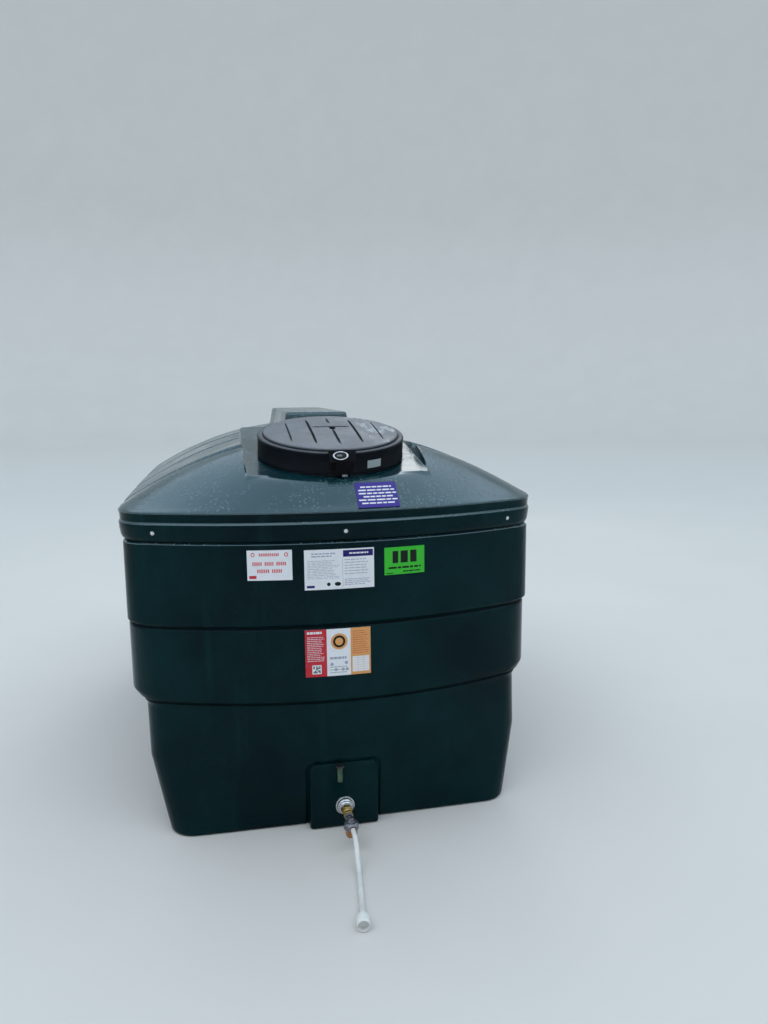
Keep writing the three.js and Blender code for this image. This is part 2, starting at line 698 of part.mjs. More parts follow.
// How far forward the outlet-end wall stands at x, z, with the section table read between its rows
function wallY(x, z) {
  const above = BUND_SECTIONS.findIndex(([height]) => height > z);
  const [z0, w0, l0, b0] = BUND_SECTIONS[above - 1];
  const [z1, w1, l1, b1] = BUND_SECTIONS[above];
  const t = (z - z0) / (z1 - z0);
  const endY = (width, length, bow) => {
    const radius = (width ** 2 + bow ** 2) / (2 * bow);
    return -length + radius - Math.sqrt(radius ** 2 - x ** 2);
  };
  return endY(w0, l0, b0) * (1 - t) + endY(w1, l1, b1) * t;
}

function faceLabel(middleX, middleZ, width, height) {
  const at = (u, v, lift) => {
    const x = middleX + (u - 0.5) * width;
    const z = middleZ + (v - 0.5) * height;
    return [x, wallY(x, z) - lift, z];
  };
  return patch(at, 8, 1, LABEL_THICKNESS);
}

// Point on the front hip at x and a height share, lifted off the surface
function hipPoint(x, share, lift) {
  const [width, length, bow, z] = domeSize(share);
  const radius = (width ** 2 + bow ** 2) / (2 * bow);
  return [x, -length + radius - Math.sqrt(radius ** 2 - x ** 2) - lift, z + lift];
}

const between = ([from, to], share) => from + (to - from) * share;

function roofLabel() {
  const at = (u, v, lift) => hipPoint(between(ROOF_LABEL_X, u), between(ROOF_LABEL_SHARE, v), lift);
  return patch(at, 6, 5, LABEL_THICKNESS);
}

function lidSticker() {
  const at = (u, v, lift) => {
    const angle = THREE.MathUtils.degToRad(between(LID_STICKER_TURN, u));
    const radius = LID_RADIUS + lift;
    return [radius * Math.cos(angle), radius * Math.sin(angle), between(LID_STICKER_Z, v)];
  };
  return patch(at, 4, 1, LABEL_THICKNESS).applyMatrix4(hatchFrame);
}

function labels() {
  for (const [name, x, z, width, height] of FACE_LABELS) {
    const material = name === "label_green" ? GREEN_LABEL : WHITE_LABEL;
    addMesh(name, faceLabel(x, z, width, height), material);
  }
  addMesh("label_roof", roofLabel(), PURPLE_LABEL);
  addMesh("label_lid", lidSticker(), WHITE_LABEL);
}

// Screw heads on the skirt band, square to it
function screws() {
  const slope = Math.atan2(SKIRT_KNEE_INSET, SKIRT_BAND_TOP_Z - SKIRT_KNEE_Z);
  const bandInset = (SKIRT_BAND_TOP_Z - SCREW_Z) * Math.tan(slope);
  const endRadius = (RIM_HALF_WIDTH ** 2 + END_BOW ** 2) / (2 * END_BOW);
  const sideRadius = (RIM_HALF_LENGTH ** 2 + SIDE_BOW ** 2) / (2 * SIDE_BOW);
  const band = rimRing(bandInset);
  // The band is straight between its points: where it reaches a given x (axis 0) or y (axis 1)
  const onBand = (axis, value) => {
    const next = band.findIndex((point) => point[axis] > value);
    const from = band[next - 1];
    const to = band[next];
    const share = (value - from[axis]) / (to[axis] - from[axis]);
    return from[1 - axis] + (to[1 - axis] - from[1 - axis]) * share;
  };
  const head = () =>
    turned([
      [0, 0],
      [SCREW_HEAD_RADIUS, 0],
      [SCREW_HEAD_RADIUS, SCREW_HEAD_HEIGHT * 0.4],
      [SCREW_HEAD_RADIUS * 0.6, SCREW_HEAD_HEIGHT],
      [0, SCREW_HEAD_HEIGHT],
    ], 12);
  const place = (name, x, y, heading) => {
    const geometry = head()
      .translate(0, 0, SCREW_SEAT)
      .rotateX(Math.PI / 2 + slope)
      .rotateZ(heading)
      .translate(x, y, SCREW_Z);
    addMesh(name, geometry, STEEL);
  };
  for (const [i, x] of END_SCREW_XS.entries()) {
    const lean = Math.asin(x / endRadius);
    const y = onBand(0, Math.abs(x));
    place(`screw_front_${i + 1}`, x, y, lean);
    place(`screw_back_${i + 1}`, x, -y, Math.PI - lean);
  }
  for (const [i, y] of SIDE_SCREW_YS.entries()) {
    const lean = Math.asin(y / sideRadius);
    const x = onBand(1, -Math.abs(y));
    place(`screw_right_${i + 1}`, x, y, Math.PI / 2 + lean);
    place(`screw_left_${i + 1}`, -x, y, -Math.PI / 2 - lean);
  }
}

// The outlet fittings, strung out along -Y from the pad
function outlet() {
  const hex = (radius, from, length) =>
    alongOutlet(new THREE.CylinderGeometry(radius, radius, length, 6).rotateX(Math.PI / 2)
      .translate(0, 0, from + length / 2));
  const gland = turned([
    [0, SEAT_GAP],
    [34, SEAT_GAP],
    [34, 12],
    [31, 21],
    [24, 30],
    [14, GLAND_LENGTH],
    [0, GLAND_LENGTH],
  ], 36);
  addMesh("outlet_gland", alongOutlet(gland), STEEL);
  const nutFrom = GLAND_LENGTH + SEAT_GAP;
  const unionFrom = nutFrom + NUT_LENGTH + SEAT_GAP;
  const collarFrom = unionFrom + UNION_LENGTH + SEAT_GAP;
  const valveFrom = collarFrom + COLLAR_LENGTH + SEAT_GAP;
  const valveEnd = FILTER_OUT - FILTER_BOSS_REACH - SEAT_GAP;
  addMesh("outlet_nut", hex(19, nutFrom, NUT_LENGTH), BRASS);
  addMesh("outlet_union", alongOutlet(disc(12.5, unionFrom, unionFrom + UNION_LENGTH, 20)), BRASS);
  addMesh("outlet_union_collar", hex(17, collarFrom, COLLAR_LENGTH), BRASS);
  addMesh("valve_body", alongOutlet(disc(14, valveFrom, valveEnd, 20)), GREY_METAL);
  const headY = PAD_FRONT_Y - FILTER_OUT;
  const boss = new THREE.CylinderGeometry(11, 11, FILTER_BOSS_LENGTH, 20);
  const head = solid(disc(FILTER_RADIUS, -12, 12, 32)).add(
    solid(boss.translate(0, FILTER_BOSS_REACH - FILTER_BOSS_LENGTH / 2, 0)),
  );
  const headGeometry = geometryOf(head).translate(OUTLET_X, headY, OUTLET_Z);
  addMesh("filter_head", headGeometry, GREY_METAL);
  const bowl = turned([[0, -46], [12, -46], [19, -40], [21, -30], [21, -12.3], [0, -12.3]], 32);
  addMesh("filter_bowl", bowl.translate(OUTLET_X, headY, OUTLET_Z), AMBER);
  const stubY = headY - FILTER_RADIUS - SEAT_GAP - STUB_LENGTH / 2;
  const stub = new THREE.CylinderGeometry(9, 9, STUB_LENGTH, 6).translate(OUTLET_X, stubY, OUTLET_Z);
  addMesh("outlet_stub", stub, BRASS);
}

// The supply hose and the socket on its far end, which lies on the ground
function supplyHose() {
  const points = HOSE_ROUTE.map(([x, y, z]) => new THREE.Vector3(x, y, z));
  const section = new THREE.Shape().absarc(0, 0, HOSE_RADIUS, 0, 2 * Math.PI);
  const hose = new THREE.ExtrudeGeometry(section, {
    extrudePath: new THREE.CatmullRomCurve3(points),
    steps: HOSE_STEPS,
    curveSegments: HOSE_SIDES / 2,
  });
  addMesh("supply_hose", hose, WHITE_PLASTIC);
  const end = points.at(-1);
  const heading = new THREE.Vector3().subVectors(end, points.at(-2)).setZ(0).normalize();
  const socket = turned([
    [0, SEAT_GAP],
    [SOCKET_RADIUS - SOCKET_SHOULDER, SEAT_GAP],
    [SOCKET_RADIUS, SOCKET_SHOULDER],
    [SOCKET_RADIUS, SOCKET_LENGTH],
    [0, SOCKET_LENGTH],
  ], 24);
  socket.rotateX(Math.PI / 2).rotateZ(Math.atan2(heading.x, -heading.y));
  addMesh("hose_socket", socket.translate(end.x, end.y, end.z), WHITE_PLASTIC);
}

// Short sight tube at the top of the pad, under a cap
function spigot() {
  const tubeY = PAD_FRONT_Y - SPIGOT_RADIUS - SEAT_GAP;
  const tube = turned([
    [0, SPIGOT_FOOT_Z],
    [6, SPIGOT_FOOT_Z],
    [SPIGOT_RADIUS, SPIGOT_FOOT_Z + 5],
    [SPIGOT_RADIUS, SPIGOT_TOP_Z],
    [0, SPIGOT_TOP_Z],
  ], 20);
  addMesh("spigot_tube", tube.translate(SPIGOT_X, tubeY, 0), PALE_GREEN);
  const capY = PAD_FRONT_Y - SPIGOT_CAP_RADIUS - SEAT_GAP;
  const cap = disc(SPIGOT_CAP_RADIUS, SPIGOT_TOP_Z + SEAT_GAP, SPIGOT_TOP_Z + 7, 24);
  addMesh("spigot_cap", cap.translate(SPIGOT_X, capY, 0), BLACK_PLASTIC);
}

addMesh("bund_shell", bundShell(), GREEN_PLASTIC);
addMesh("roof_cover", roofCover(), GREEN_PLASTIC);
addMesh("inner_tank", innerTank(), INNER_PLASTIC);
addMesh(
  "hatch_neck",
  ring(NECK_INNER, NECK_OUTER, SEAT_GAP, NECK_HEIGHT, 48).applyMatrix4(hatchFrame),
  BLACK_PLASTIC,
);
addMesh("hatch_lid", hatchLid(), LID_PLASTIC);
addMesh("lid_clasp", lidClasp(), BLACK_PLASTIC);
addMesh("lock_ring", lockRing(), STEEL);
hinge();
labels();
screws();
outlet();
supplyHose();
spigot();

export default tank;
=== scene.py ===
# Looks of a bunded plastic fuel tank: wet green moulded shells, a weathered hatch lid, labels and outlet fittings.
# Shapes are in millimetres in the tank's own frame, and become metres where a mesh is made.

import random
from math import asin, atan2, cos, hypot, pi, radians, sin, sqrt, tan

import bmesh
import bpy
import numpy as np
from mathutils import Matrix, Vector
from mathutils.geometry import delaunay_2d_cdt


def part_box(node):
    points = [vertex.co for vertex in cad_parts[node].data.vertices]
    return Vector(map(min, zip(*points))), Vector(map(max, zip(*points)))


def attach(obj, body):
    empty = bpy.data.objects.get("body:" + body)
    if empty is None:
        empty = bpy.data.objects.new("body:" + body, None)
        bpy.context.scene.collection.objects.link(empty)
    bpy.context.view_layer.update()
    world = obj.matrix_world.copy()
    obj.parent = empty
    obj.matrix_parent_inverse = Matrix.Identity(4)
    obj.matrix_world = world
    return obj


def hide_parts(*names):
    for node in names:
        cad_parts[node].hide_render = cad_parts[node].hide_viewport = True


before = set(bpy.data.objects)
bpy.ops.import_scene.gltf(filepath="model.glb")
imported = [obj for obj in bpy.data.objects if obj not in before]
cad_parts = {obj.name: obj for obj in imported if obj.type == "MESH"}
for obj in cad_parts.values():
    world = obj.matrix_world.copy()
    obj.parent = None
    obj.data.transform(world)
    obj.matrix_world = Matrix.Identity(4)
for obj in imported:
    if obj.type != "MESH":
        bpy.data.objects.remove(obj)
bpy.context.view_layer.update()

MM = 0.001
MERGE_WITHIN = 2e-5
base_low, base_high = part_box("bund_shell")
TANK_SHIFT = Vector((0, (base_low.y + base_high.y) / 2, 0))

# Tank, rim and skirt
RIM_HALF_WIDTH = 755
RIM_HALF_LENGTH = 1140
END_BOW = 187.5
SIDE_BOW = 8
RIM_CORNER = 166
RIM_SECTION = (RIM_HALF_WIDTH, RIM_HALF_LENGTH, END_BOW, RIM_CORNER)
ARC_STEPS = (24, 12, 18)
SHOULDER_Z = 1139
CREST_Z = 1382
SKIRT_INNER_INSET = 14
SCREW_Z = 1068
END_SCREW_XS = (-627, 2, 615)
SIDE_SCREW_YS = (-840, -280, 280, 840)

# Walls, from the base up: height, half width, half length, end bow, corner radius
BUND_SECTIONS = np.array([
    [0, 620, 1060, 8, 88],
    [8, 626, 1064, 8, 94],
    [264, 684, 1112, 130, 106],
    [450, 689, 1117, 165, 110],
    [466, 702, 1117.5, 166, 126],
    [470, 704, 1113, 164, 126],
    [474, 708, 1113, 164, 130],
    [478, 716, 1121, 167, 140],
    [500, 737, 1121, 168, 166],
    [732, 739, 1122, 172, 166],
    [737, 733, 1116, 170, 160],
    [743, 733, 1116, 170, 150],
    [753, 741, 1127, 182, 110],
    [1028, 742, 1127, 184, 110],
    [1031, 737, 1121, 181, 136],
    [1036, 737, 1121, 181, 136],
    [1040, 740.7, 1125.7, 181.8, 151.7],
    [1120, 740.7, 1125.7, 181.8, 151.7],
], float)
BUND_WALL = 10
BUND_FLOOR_Z = 12
BASE_ROUNDING = 6
KNEE_SPREAD = 2.5
# Heights of the wall's lip, given the lighter top copy as a painted highlight line
PAINTED_HIGHLIGHT_LIP = (1026, 1031)
# Heights of the wall's steps and the skirt's underside, painted dark as shade under their overhangs
PAINTED_SHADE_STEPS = ((466, 477), (735, 744), (1031, 1040))

# Outlet pad, moulded into the outlet end
PAD_FRONT_Y = -1108
PAD_HALF_WIDTH = 122
PAD_TOP_Z = 242
PAD_CORNER = 28
PAD_FILLET = 12
PAD_STEP_RUN = 3
PAD_MOAT_WIDTH = 12
PAD_MOAT_DEPTH = 6
PAD_MOAT_RUN = 5
OUTLET_X = -14
OUTLET_Z = 84
FILTER_OUT = 136
FILTER_RIBS = 24
SPIGOT_X = -31

# Supply hose: its route from the outlet's end to its socket on the ground
HOSE_RADIUS = 8
HOSE_ROUTE = (
    (-14, -1279.8, 84), (-14, -1290, 84), (-14, -1309.4, 81.4), (-14, -1327.5, 74),
    (-14, -1343, 62), (-14.2, -1355.2, 46.2), (-14.6, -1367.4, 30.4), (-15.4, -1382.9, 18.4),
    (-16.8, -1401, 11), (-18.8, -1420.4, 8.4), (-22.4, -1450, 8.4), (-26.2, -1480, 8.4),
    (-30.2, -1510, 8.4), (-34.2, -1540, 8.4), (-37.5, -1565, 9), (-39.5, -1580, 11.8),
    (-41.5, -1595, 16.8), (-43.5, -1610, 19.9), (-45.5, -1625, 20),
)

# Roof
ROOF_WALL = 10
LINING_Z = 1118
SECTION_POWER = 2.05
HIP_POWER = 1.88
HIP_LENGTH = 452
HIP_BOW_GAIN = 0.19
HALVINGS = 30
GROOVE_YS = (-720, -240, 240, 720)
GROOVE_HALF_FLOOR = 21
GROOVE_HALF_MOUTH = 38
GROOVE_DEPTH = 14
GROOVE_EDGE_DEPTH = 20
GROOVE_RUN_IN = 0.15
SPINE_X = 26.5
SPINE_FRONT_Y = -236
SPINE_BACK_Y = 706
SPINE_HALF_WIDTH = 151
SPINE_FRONT_TOP_Z = 1449
SPINE_RISE = 11
SPINE_STEEPNESS = 5.5
SPINE_CORNER = 30
SPINE_FOOT_Z = CREST_Z - 30
SPINE_TOP_BLEND = 16
SPINE_FOOT_BLEND = 12

# Hatch platform, tilted towards the outlet end
HATCH_X = 10.7
HATCH_Y = -742
HATCH_Z = 1294
HATCH_TILT = radians(12)
HATCH_HOLE = 226
PLATFORM_HALF_WIDTH = 320
PLATFORM_FRONT = -420
PLATFORM_PROUD_FROM = -240
PLATFORM_BACK = 458
PLATFORM_CORNER = 24
PLATFORM_WALL_RUN = 9
PLATFORM_BLEND = 7

# Hatch lid and neck
LID_RADIUS = 272
LID_DISC = 246
LID_DISC_Z = 91.3
LID_RIM_Z = 84
LID_CROWN = 8
LID_PATTERN_X = 8
LID_GROOVE_OFFSETS = (-166, -83, 83, 166)
LID_GROOVE_REACH = 0.74
# Slots deeper than this are painted dark, a painted shade in them
SLOT_PAINTED_SHADE_DEPTH = 1.6
LOCK_X = -7
NECK_INNER = 218
NECK_OUTER = 240
NECK_HEIGHT = 52
NECK_BOLTS = 16

# Labels: how far their sides stand off the surface, the lift of each layer of print, columns and rows of the film
FILM_UNDER = 0.4
FILM_TOP = 1.3
PRINT_LIFT = 0.15
LABEL_GRID = (12, 8)
STROKE_SHARE = 0.62
STEP_EDGE_Z = 728
HIP_LABEL = (46, 145, 0.014, 0.308)
BAND_LABEL = (-70, 12, 22, 27.5)

# Camera, from the photograph's level edges: place in the tank's frame, yaw, pitch and roll in degrees, and the
# focal length in pixels
CAMERA_PLACE = (-401.7, -3663.8, 1500)
CAMERA_TURNS = (11.92, 8.228, -0.58)
FOCAL_PIXELS = 780
IMAGE_HEIGHT = 1024
SENSOR = 36


def moved(x, y, z):
    return Matrix.Translation((x, y, z))


def rotated(angle, axis):
    return Matrix.Rotation(angle, 4, axis)


hatch_frame = moved(HATCH_X, HATCH_Y, HATCH_Z) @ rotated(HATCH_TILT, "X")


def in_scene(name, data):
    """A new object with this data, linked to the scene."""
    made = bpy.data.objects.new(name, data)
    bpy.context.scene.collection.objects.link(made)
    return made


def smooth(t):
    t = np.clip(t, 0, 1)
    return t * t * (3 - 2 * t)


def soft_min(a, b, width):
    return (a + b - np.sqrt((a - b) ** 2 + width**2)) / 2


def soft_max(a, b, width):
    return -soft_min(-a, -b, width)


def inside_rectangle(x, y, half_x, half_y, corner):
    """Depth inside a rectangle with round corners, negative outside."""
    dx = np.abs(x) - (half_x - corner)
    dy = np.abs(y) - (half_y - corner)
    return corner - np.hypot(np.maximum(dx, 0), np.maximum(dy, 0)) - np.minimum(np.maximum(dx, dy), 0)


# Plan outlines


def arc_radius(half, rise):
    """Radius of an arc that rises this far over this half width."""
    return (half**2 + rise**2) / (2 * rise)


def circles(section, inset=0.0):
    """Centres and radii of the end, corner and side arcs of a section's front right quarter."""
    width, length, bow, corner = section
    end_radius = arc_radius(width, bow) - inset
    side_radius = arc_radius(length, SIDE_BOW) - inset
    radius = corner - inset
    end = (0 * width, inset - length + end_radius)
    side = (width - inset - side_radius, 0 * width)
    reach_end = end_radius - radius
    reach_side = side_radius - radius
    span_x, span_y = side[0] - end[0], side[1] - end[1]
    distance = np.hypot(span_x, span_y)
    along = (reach_end**2 - reach_side**2 + distance**2) / (2 * distance)
    across = np.sqrt(reach_end**2 - along**2)
    ux, uy = span_x / distance, span_y / distance
    centre = (end[0] + along * ux - across * uy, end[1] + along * uy + across * ux)
    return end, end_radius, centre, radius, side, side_radius


def outline(section, inset=0.0, xs=(0.0,)):
    """Outline points, anticlockwise from the middle of the outlet end, with columns at the given x first."""
    end, end_radius, centre, radius, side, side_radius = circles(section, inset)
    end_turn = atan2(centre[0] - end[0], end[1] - centre[1])
    side_turn = atan2(centre[0] - side[0], side[1] - centre[1])
    fixed = np.arcsin(np.array(xs) / end_radius)
    end_steps, corner_steps, side_steps = ARC_STEPS
    rest = np.linspace(fixed[-1], end_turn, end_steps, endpoint=False)[1:]
    arcs = (
        (end, end_radius, np.concatenate([fixed, rest])),
        (centre, radius, np.linspace(end_turn, side_turn, corner_steps, endpoint=False)),
        (side, side_radius, np.linspace(side_turn, pi / 2, side_steps)),
    )
    quarter = np.concatenate([
        np.stack([middle[0] + size * np.sin(turn), middle[1] - size * np.cos(turn)], 1)
        for middle, size, turn in arcs
    ])
    right = np.concatenate([quarter, quarter[-2::-1] * (1, -1)])
    return np.concatenate([right, right[-2:0:-1] * (-1, 1)])


def outside(x, y, section):
    """Distance outside a section's outline, negative inside it."""
    end, end_radius, centre, radius, side, side_radius = circles(section)
    px, py = np.abs(x), -np.abs(y)
    vx, vy = px - centre[0], py - centre[1]
    past_end = (centre[0] - end[0]) * vy - (centre[1] - end[1]) * vx > 0
    past_side = vx * (centre[1] - side[1]) - vy * (centre[0] - side[0]) > 0
    to_end = np.hypot(px - end[0], py - end[1]) - end_radius
    to_side = np.hypot(px - side[0], py - side[1]) - side_radius
    return np.where(past_end & past_side, np.hypot(vx, vy) - radius, np.maximum(to_end, to_side))


def dome_section(share):
    """The dome's outline at a height share, 0 at the shoulder and 1 at the crest."""
    left = 1 - share
    width = RIM_HALF_WIDTH * left ** (1 / SECTION_POWER)
    length = RIM_HALF_LENGTH - HIP_LENGTH * (1 - left ** (1 / HIP_POWER))
    bow = width * (END_BOW / RIM_HALF_WIDTH + HIP_BOW_GAIN * np.sqrt(np.maximum(share, 0)))
    return width, length, bow, np.minimum(RIM_CORNER, 0.8 * width)


def dome_share(x, y):
    """The height share at which the dome's outline passes through each point, found by halving."""
    low = np.full(np.shape(x), -0.5)
    high = np.full(np.shape(x), 0.9999)
    for _ in range(HALVINGS):
        middle = (low + high) / 2
        beyond = outside(x, y, dome_section(middle)) > 0
        high = np.where(beyond, middle, high)
        low = np.where(beyond, low, middle)
    return (low + high) / 2


def roof_height(x, y):
    """Height of the roof's outer surface: the grooved dome, its spine and the hatch platform."""
    share = dome_share(x, y)
    z = SHOULDER_Z + (CREST_Z - SHOULDER_Z) * share
    for groove in GROOVE_YS:
        flank = (GROOVE_HALF_MOUTH - np.abs(y - groove)) / (GROOVE_HALF_MOUTH - GROOVE_HALF_FLOOR)
        depth = GROOVE_EDGE_DEPTH + (GROOVE_DEPTH - GROOVE_EDGE_DEPTH) * smooth(share / GROOVE_RUN_IN)
        z = z - depth * smooth(flank)
    middle = (SPINE_FRONT_Y + SPINE_BACK_Y) / 2
    depth = inside_rectangle(x - SPINE_X, y - middle, SPINE_HALF_WIDTH, SPINE_BACK_Y - middle, SPINE_CORNER)
    top = SPINE_FRONT_TOP_Z + SPINE_RISE * (y - SPINE_FRONT_Y) / (SPINE_BACK_Y - SPINE_FRONT_Y)
    spine = soft_min(SPINE_FOOT_Z + SPINE_STEEPNESS * depth, top, SPINE_TOP_BLEND)
    z = soft_max(z, spine, SPINE_FOOT_BLEND)
    along = (y - HATCH_Y) / cos(HATCH_TILT)
    plane = HATCH_Z + (y - HATCH_Y) * tan(HATCH_TILT)
    half_length = (PLATFORM_BACK - PLATFORM_FRONT) / 2
    across = x - HATCH_X
    centred = along - (PLATFORM_BACK + PLATFORM_FRONT) / 2
    depth = inside_rectangle(across, centred, PLATFORM_HALF_WIDTH, half_length, PLATFORM_CORNER)
    top = np.where(along < PLATFORM_PROUD_FROM, soft_min(z, plane, PLATFORM_BLEND), plane)
    return z + (top - z) * smooth((depth + PLATFORM_WALL_RUN) / PLATFORM_WALL_RUN)


# Meshes


def cleaned(mesh, sharp):
    """Merges doubled points, turns the faces outward and smooths all edges but the sharp ones."""
    work = bmesh.new()
    work.from_mesh(mesh)
    bmesh.ops.remove_doubles(work, verts=work.verts, dist=MERGE_WITHIN)
    bmesh.ops.recalc_face_normals(work, faces=work.faces)
    limit = radians(sharp)
    for face in work.faces:
        face.smooth = True
    for edge in work.edges:
        edge.smooth = len(edge.link_faces) != 2 or edge.calc_face_angle() < limit
    work.to_mesh(mesh)
    work.free()


class Shape:
    """Points in millimetres and faces, collected into one mesh piece."""

    def __init__(self):
        self.points = []
        self.faces = []
        self.inks = []

    def add(self, points, faces, ink=0, place=None):
        """One ink for all the faces, or a list with one for each."""
        start = len(self.points)
        self.points.extend(Vector(point) if place is None else place @ Vector(point) for point in points)
        self.faces.extend([start + i for i in face] for face in faces)
        self.inks.extend(ink if isinstance(ink, list) else [ink] * len(faces))
        return self

    def piece(self, name, finishes, slot, *nodes, body="tank", sharp=35, bevel=0.0):
        """The finished object, on its body, in place of the frame's nodes that it stands for."""
        mesh = bpy.data.meshes.new(name)
        mesh.from_pydata([point * MM + TANK_SHIFT for point in self.points], [], self.faces)
        for finish in finishes:
            mesh.materials.append(finish)
        mesh.polygons.foreach_set("material_index", self.inks)
        cleaned(mesh, sharp)
        piece = in_scene(name, mesh)
        if bevel:
            round_edges(piece, bevel)
        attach(piece, body)
        if nodes:
            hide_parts(*nodes)
        return piece


def round_edges(piece, width):
    modifier = piece.modifiers.new("edges", "BEVEL")
    modifier.width = width * MM
    modifier.segments = 3
    modifier.limit_method = "ANGLE"
    modifier.angle_limit = radians(40)
    modifier.harden_normals = True


def strip_faces(rows, columns, closed=True):
    """Quads between rows of points, each row closing on itself or open."""
    faces = []
    for start in range(0, (rows - 1) * columns, columns):
        for c in range(columns if closed else columns - 1):
            a, b = start + c, start + (c + 1) % columns
            faces.append((a, b, b + columns, a + columns))
    return faces


def turned(profile, segments):
    """A turned solid about +Z from (radius, height) points; a profile on the axis gives a closed end."""
    turns = [2 * pi * i / segments for i in range(segments)]
    points = [(r * cos(a), r * sin(a), z) for r, z in profile for a in turns]
    return points, strip_faces(len(profile), segments)


def prism(profile, x0, x1):
    """A solid with a flat outline in (y, z), from x0 to x1."""
    count = len(profile)
    points = [(x, y, z) for x in (x0, x1) for y, z in profile]
    faces = strip_faces(2, count) + [tuple(range(count)), tuple(range(2 * count - 1, count - 1, -1))]
    return points, faces


def lathe(name, profile, place, finish, slot, *nodes, body="tank", segments=48):
    """A piece of one turned solid; six segments make a nut."""
    return Shape().add(*turned(profile, segments), place=place).piece(name, [finish], slot, *nodes, body=body)


def chamfered(radius, start, stop, chamfer=1.6):
    """Profile of a plain cylinder with both ends chamfered."""
    profile = [(0, start), (radius - chamfer, start), (radius, start + chamfer)]
    return profile + [(radius, stop - chamfer), (radius - chamfer, stop), (0, stop)]


def for_rows(inks, count):
    """Each row's ink, repeated for the faces in the row."""
    return [ink for ink in inks for _ in range(count)]


def plan_grid(xs, ys, wanted):
    x, y = (values.ravel() for values in np.meshgrid(xs, ys))
    kept = wanted(x, y)
    return np.column_stack([x[kept], y[kept]])


def band_lines(start, stop, step, bands):
    """Grid coordinates from start to stop, closer together over each (middle, reach, spacing) band."""
    coarse = np.arange(start, stop + step / 2, step)
    fine = []
    for middle, reach, spacing in bands:
        coarse = coarse[np.abs(coarse - middle) > reach + 0.3 * spacing]
        fine.append(np.arange(middle - reach, middle + reach + spacing / 2, spacing))
    merged = np.sort(np.concatenate([coarse, *fine]))
    keep = np.concatenate([[True], np.diff(merged) > 0.8])
    return merged[keep]


def sheet(rings, inner, height, wanted):
    """Triangles over a plan area bounded by closed rings, with inner points, lifted to a height."""
    plan = []
    edges = []
    for ring in rings:
        start = len(plan)
        plan.extend(Vector(point) for point in ring)
        edges.extend((start + i, start + (i + 1) % len(ring)) for i in range(len(ring)))
    plan.extend(Vector(point) for point in inner)
    points, _, faces, _, _, _ = delaunay_2d_cdt(plan, edges, [], 1, 1e-4, False)
    flat = np.array([tuple(point) for point in points])
    index = np.array(faces)
    middle = flat[index].mean(axis=1)
    kept = index[wanted(middle[:, 0], middle[:, 1])]
    lifted = np.column_stack([flat, height(flat[:, 0], flat[:, 1])])
    return lifted, kept.tolist()


# Finishes


class Finish:
    """A material whose textures feed the Principled shader, all in the object's own metres."""

    def __init__(self, name, **constants):
        self.material = bpy.data.materials.new(name)
        self.material.use_nodes = True
        self.tree = self.material.node_tree
        self.shader = self.tree.nodes["Principled BSDF"]
        self.place = self.node("TexCoord").outputs["Object"]
        for socket, value in constants.items():
            self.shader.inputs[socket.replace("_", " ")].default_value = value

    def node(self, kind, inputs=None, **settings):
        made = self.tree.nodes.new(f"ShaderNode{kind}")
        for key, value in settings.items():
            setattr(made, key, value)
        for key, value in (inputs or {}).items():
            socket = made.inputs[key]
            if isinstance(value, bpy.types.NodeSocket):
                self.tree.links.new(value, socket)
            else:
                socket.default_value = value
        return made

    def stretched(self, scale):
        return self.node("Mapping", {"Vector": self.place, "Scale": scale}).outputs["Vector"]

    def noise(self, scale, detail=3.0, rough=0.55, place=None):
        inputs = {"Vector": place or self.place, "Scale": scale, "Detail": detail, "Roughness": rough}
        return self.node("TexNoise", inputs).outputs["Fac"]

    def beads(self, scale):
        """Round spots, 1 in the middle of each cell and 0 between them."""
        cells = self.node("TexVoronoi", {"Vector": self.place, "Scale": scale})
        return self.spread(cells.outputs["Distance"], 0.1, 0.42, 1, 0)

    def spread(self, value, low, high, to_low=0.0, to_high=1.0):
        inputs = {"Value": value, "From Min": low, "From Max": high, "To Min": to_low, "To Max": to_high}
        return self.node("MapRange", inputs, interpolation_type="SMOOTHSTEP").outputs["Result"]

    def times(self, a, b):
        return self.node("Math", {0: a, 1: b}, operation="MULTIPLY").outputs[0]

    def plus(self, a, b):
        return self.node("Math", {0: a, 1: b}, operation="ADD").outputs[0]

    def blend(self, share, a, b):
        a, b = (value if isinstance(value, bpy.types.NodeSocket) else (*value, 1) for value in (a, b))
        return self.node("Mix", {0: share, 6: a, 7: b}, data_type="RGBA").outputs[2]

    def paint(self, socket, value):
        self.tree.links.new(value, self.shader.inputs[socket])

    def bump(self, *layers):
        """Stacked bumps of (height value, distance in metres, strength)."""
        normal = None
        for value, distance, strength in layers:
            inputs = {"Height": value, "Distance": distance, "Strength": strength}
            if normal is not None:
                inputs["Normal"] = normal
            normal = self.node("Bump", inputs).outputs["Normal"]
        self.paint("Normal", normal)
        return self


def wet_green(name, beaded, dark, light, streak, **constants):
    """Dark green moulded plastic, wet with rain; beaded 1 on the roof, less on the walls; the beads are painted
    pale, a painted glint.
    """
    finish = Finish(name, **constants)
    tone = finish.noise(2.2, 5)
    streaks = finish.noise(14, 4, place=finish.stretched((1, 1, 0.09)))
    shade = finish.blend(finish.spread(tone, 0.3, 0.72), dark, light)
    shade = finish.blend(finish.spread(streaks, 0.56, 0.8, 0, 0.5), shade, streak)
    clouds = finish.noise(4.5, 6, 0.62)
    drops = finish.times(finish.beads(85), finish.spread(clouds, 0.42, 0.54, 0, beaded))
    # The water beads are painted pale: painted glints on them.
    shade = finish.blend(finish.times(drops, 0.7), shade, (0.075, 0.13, 0.15))
    finish.paint("Base Color", shade)
    smear = finish.plus(finish.spread(clouds, 0.3, 0.75, 0, 0.13 * beaded), finish.times(streaks, 0.1))
    finish.paint("Roughness", finish.plus(smear, finish.times(tone, 0.22)))
    return finish.bump(
        (finish.noise(7, 2), 0.004, 0.35),
        (finish.noise(260, 3), 0.0004, 0.25),
        (drops, 0.0016, 0.5),
    ).material


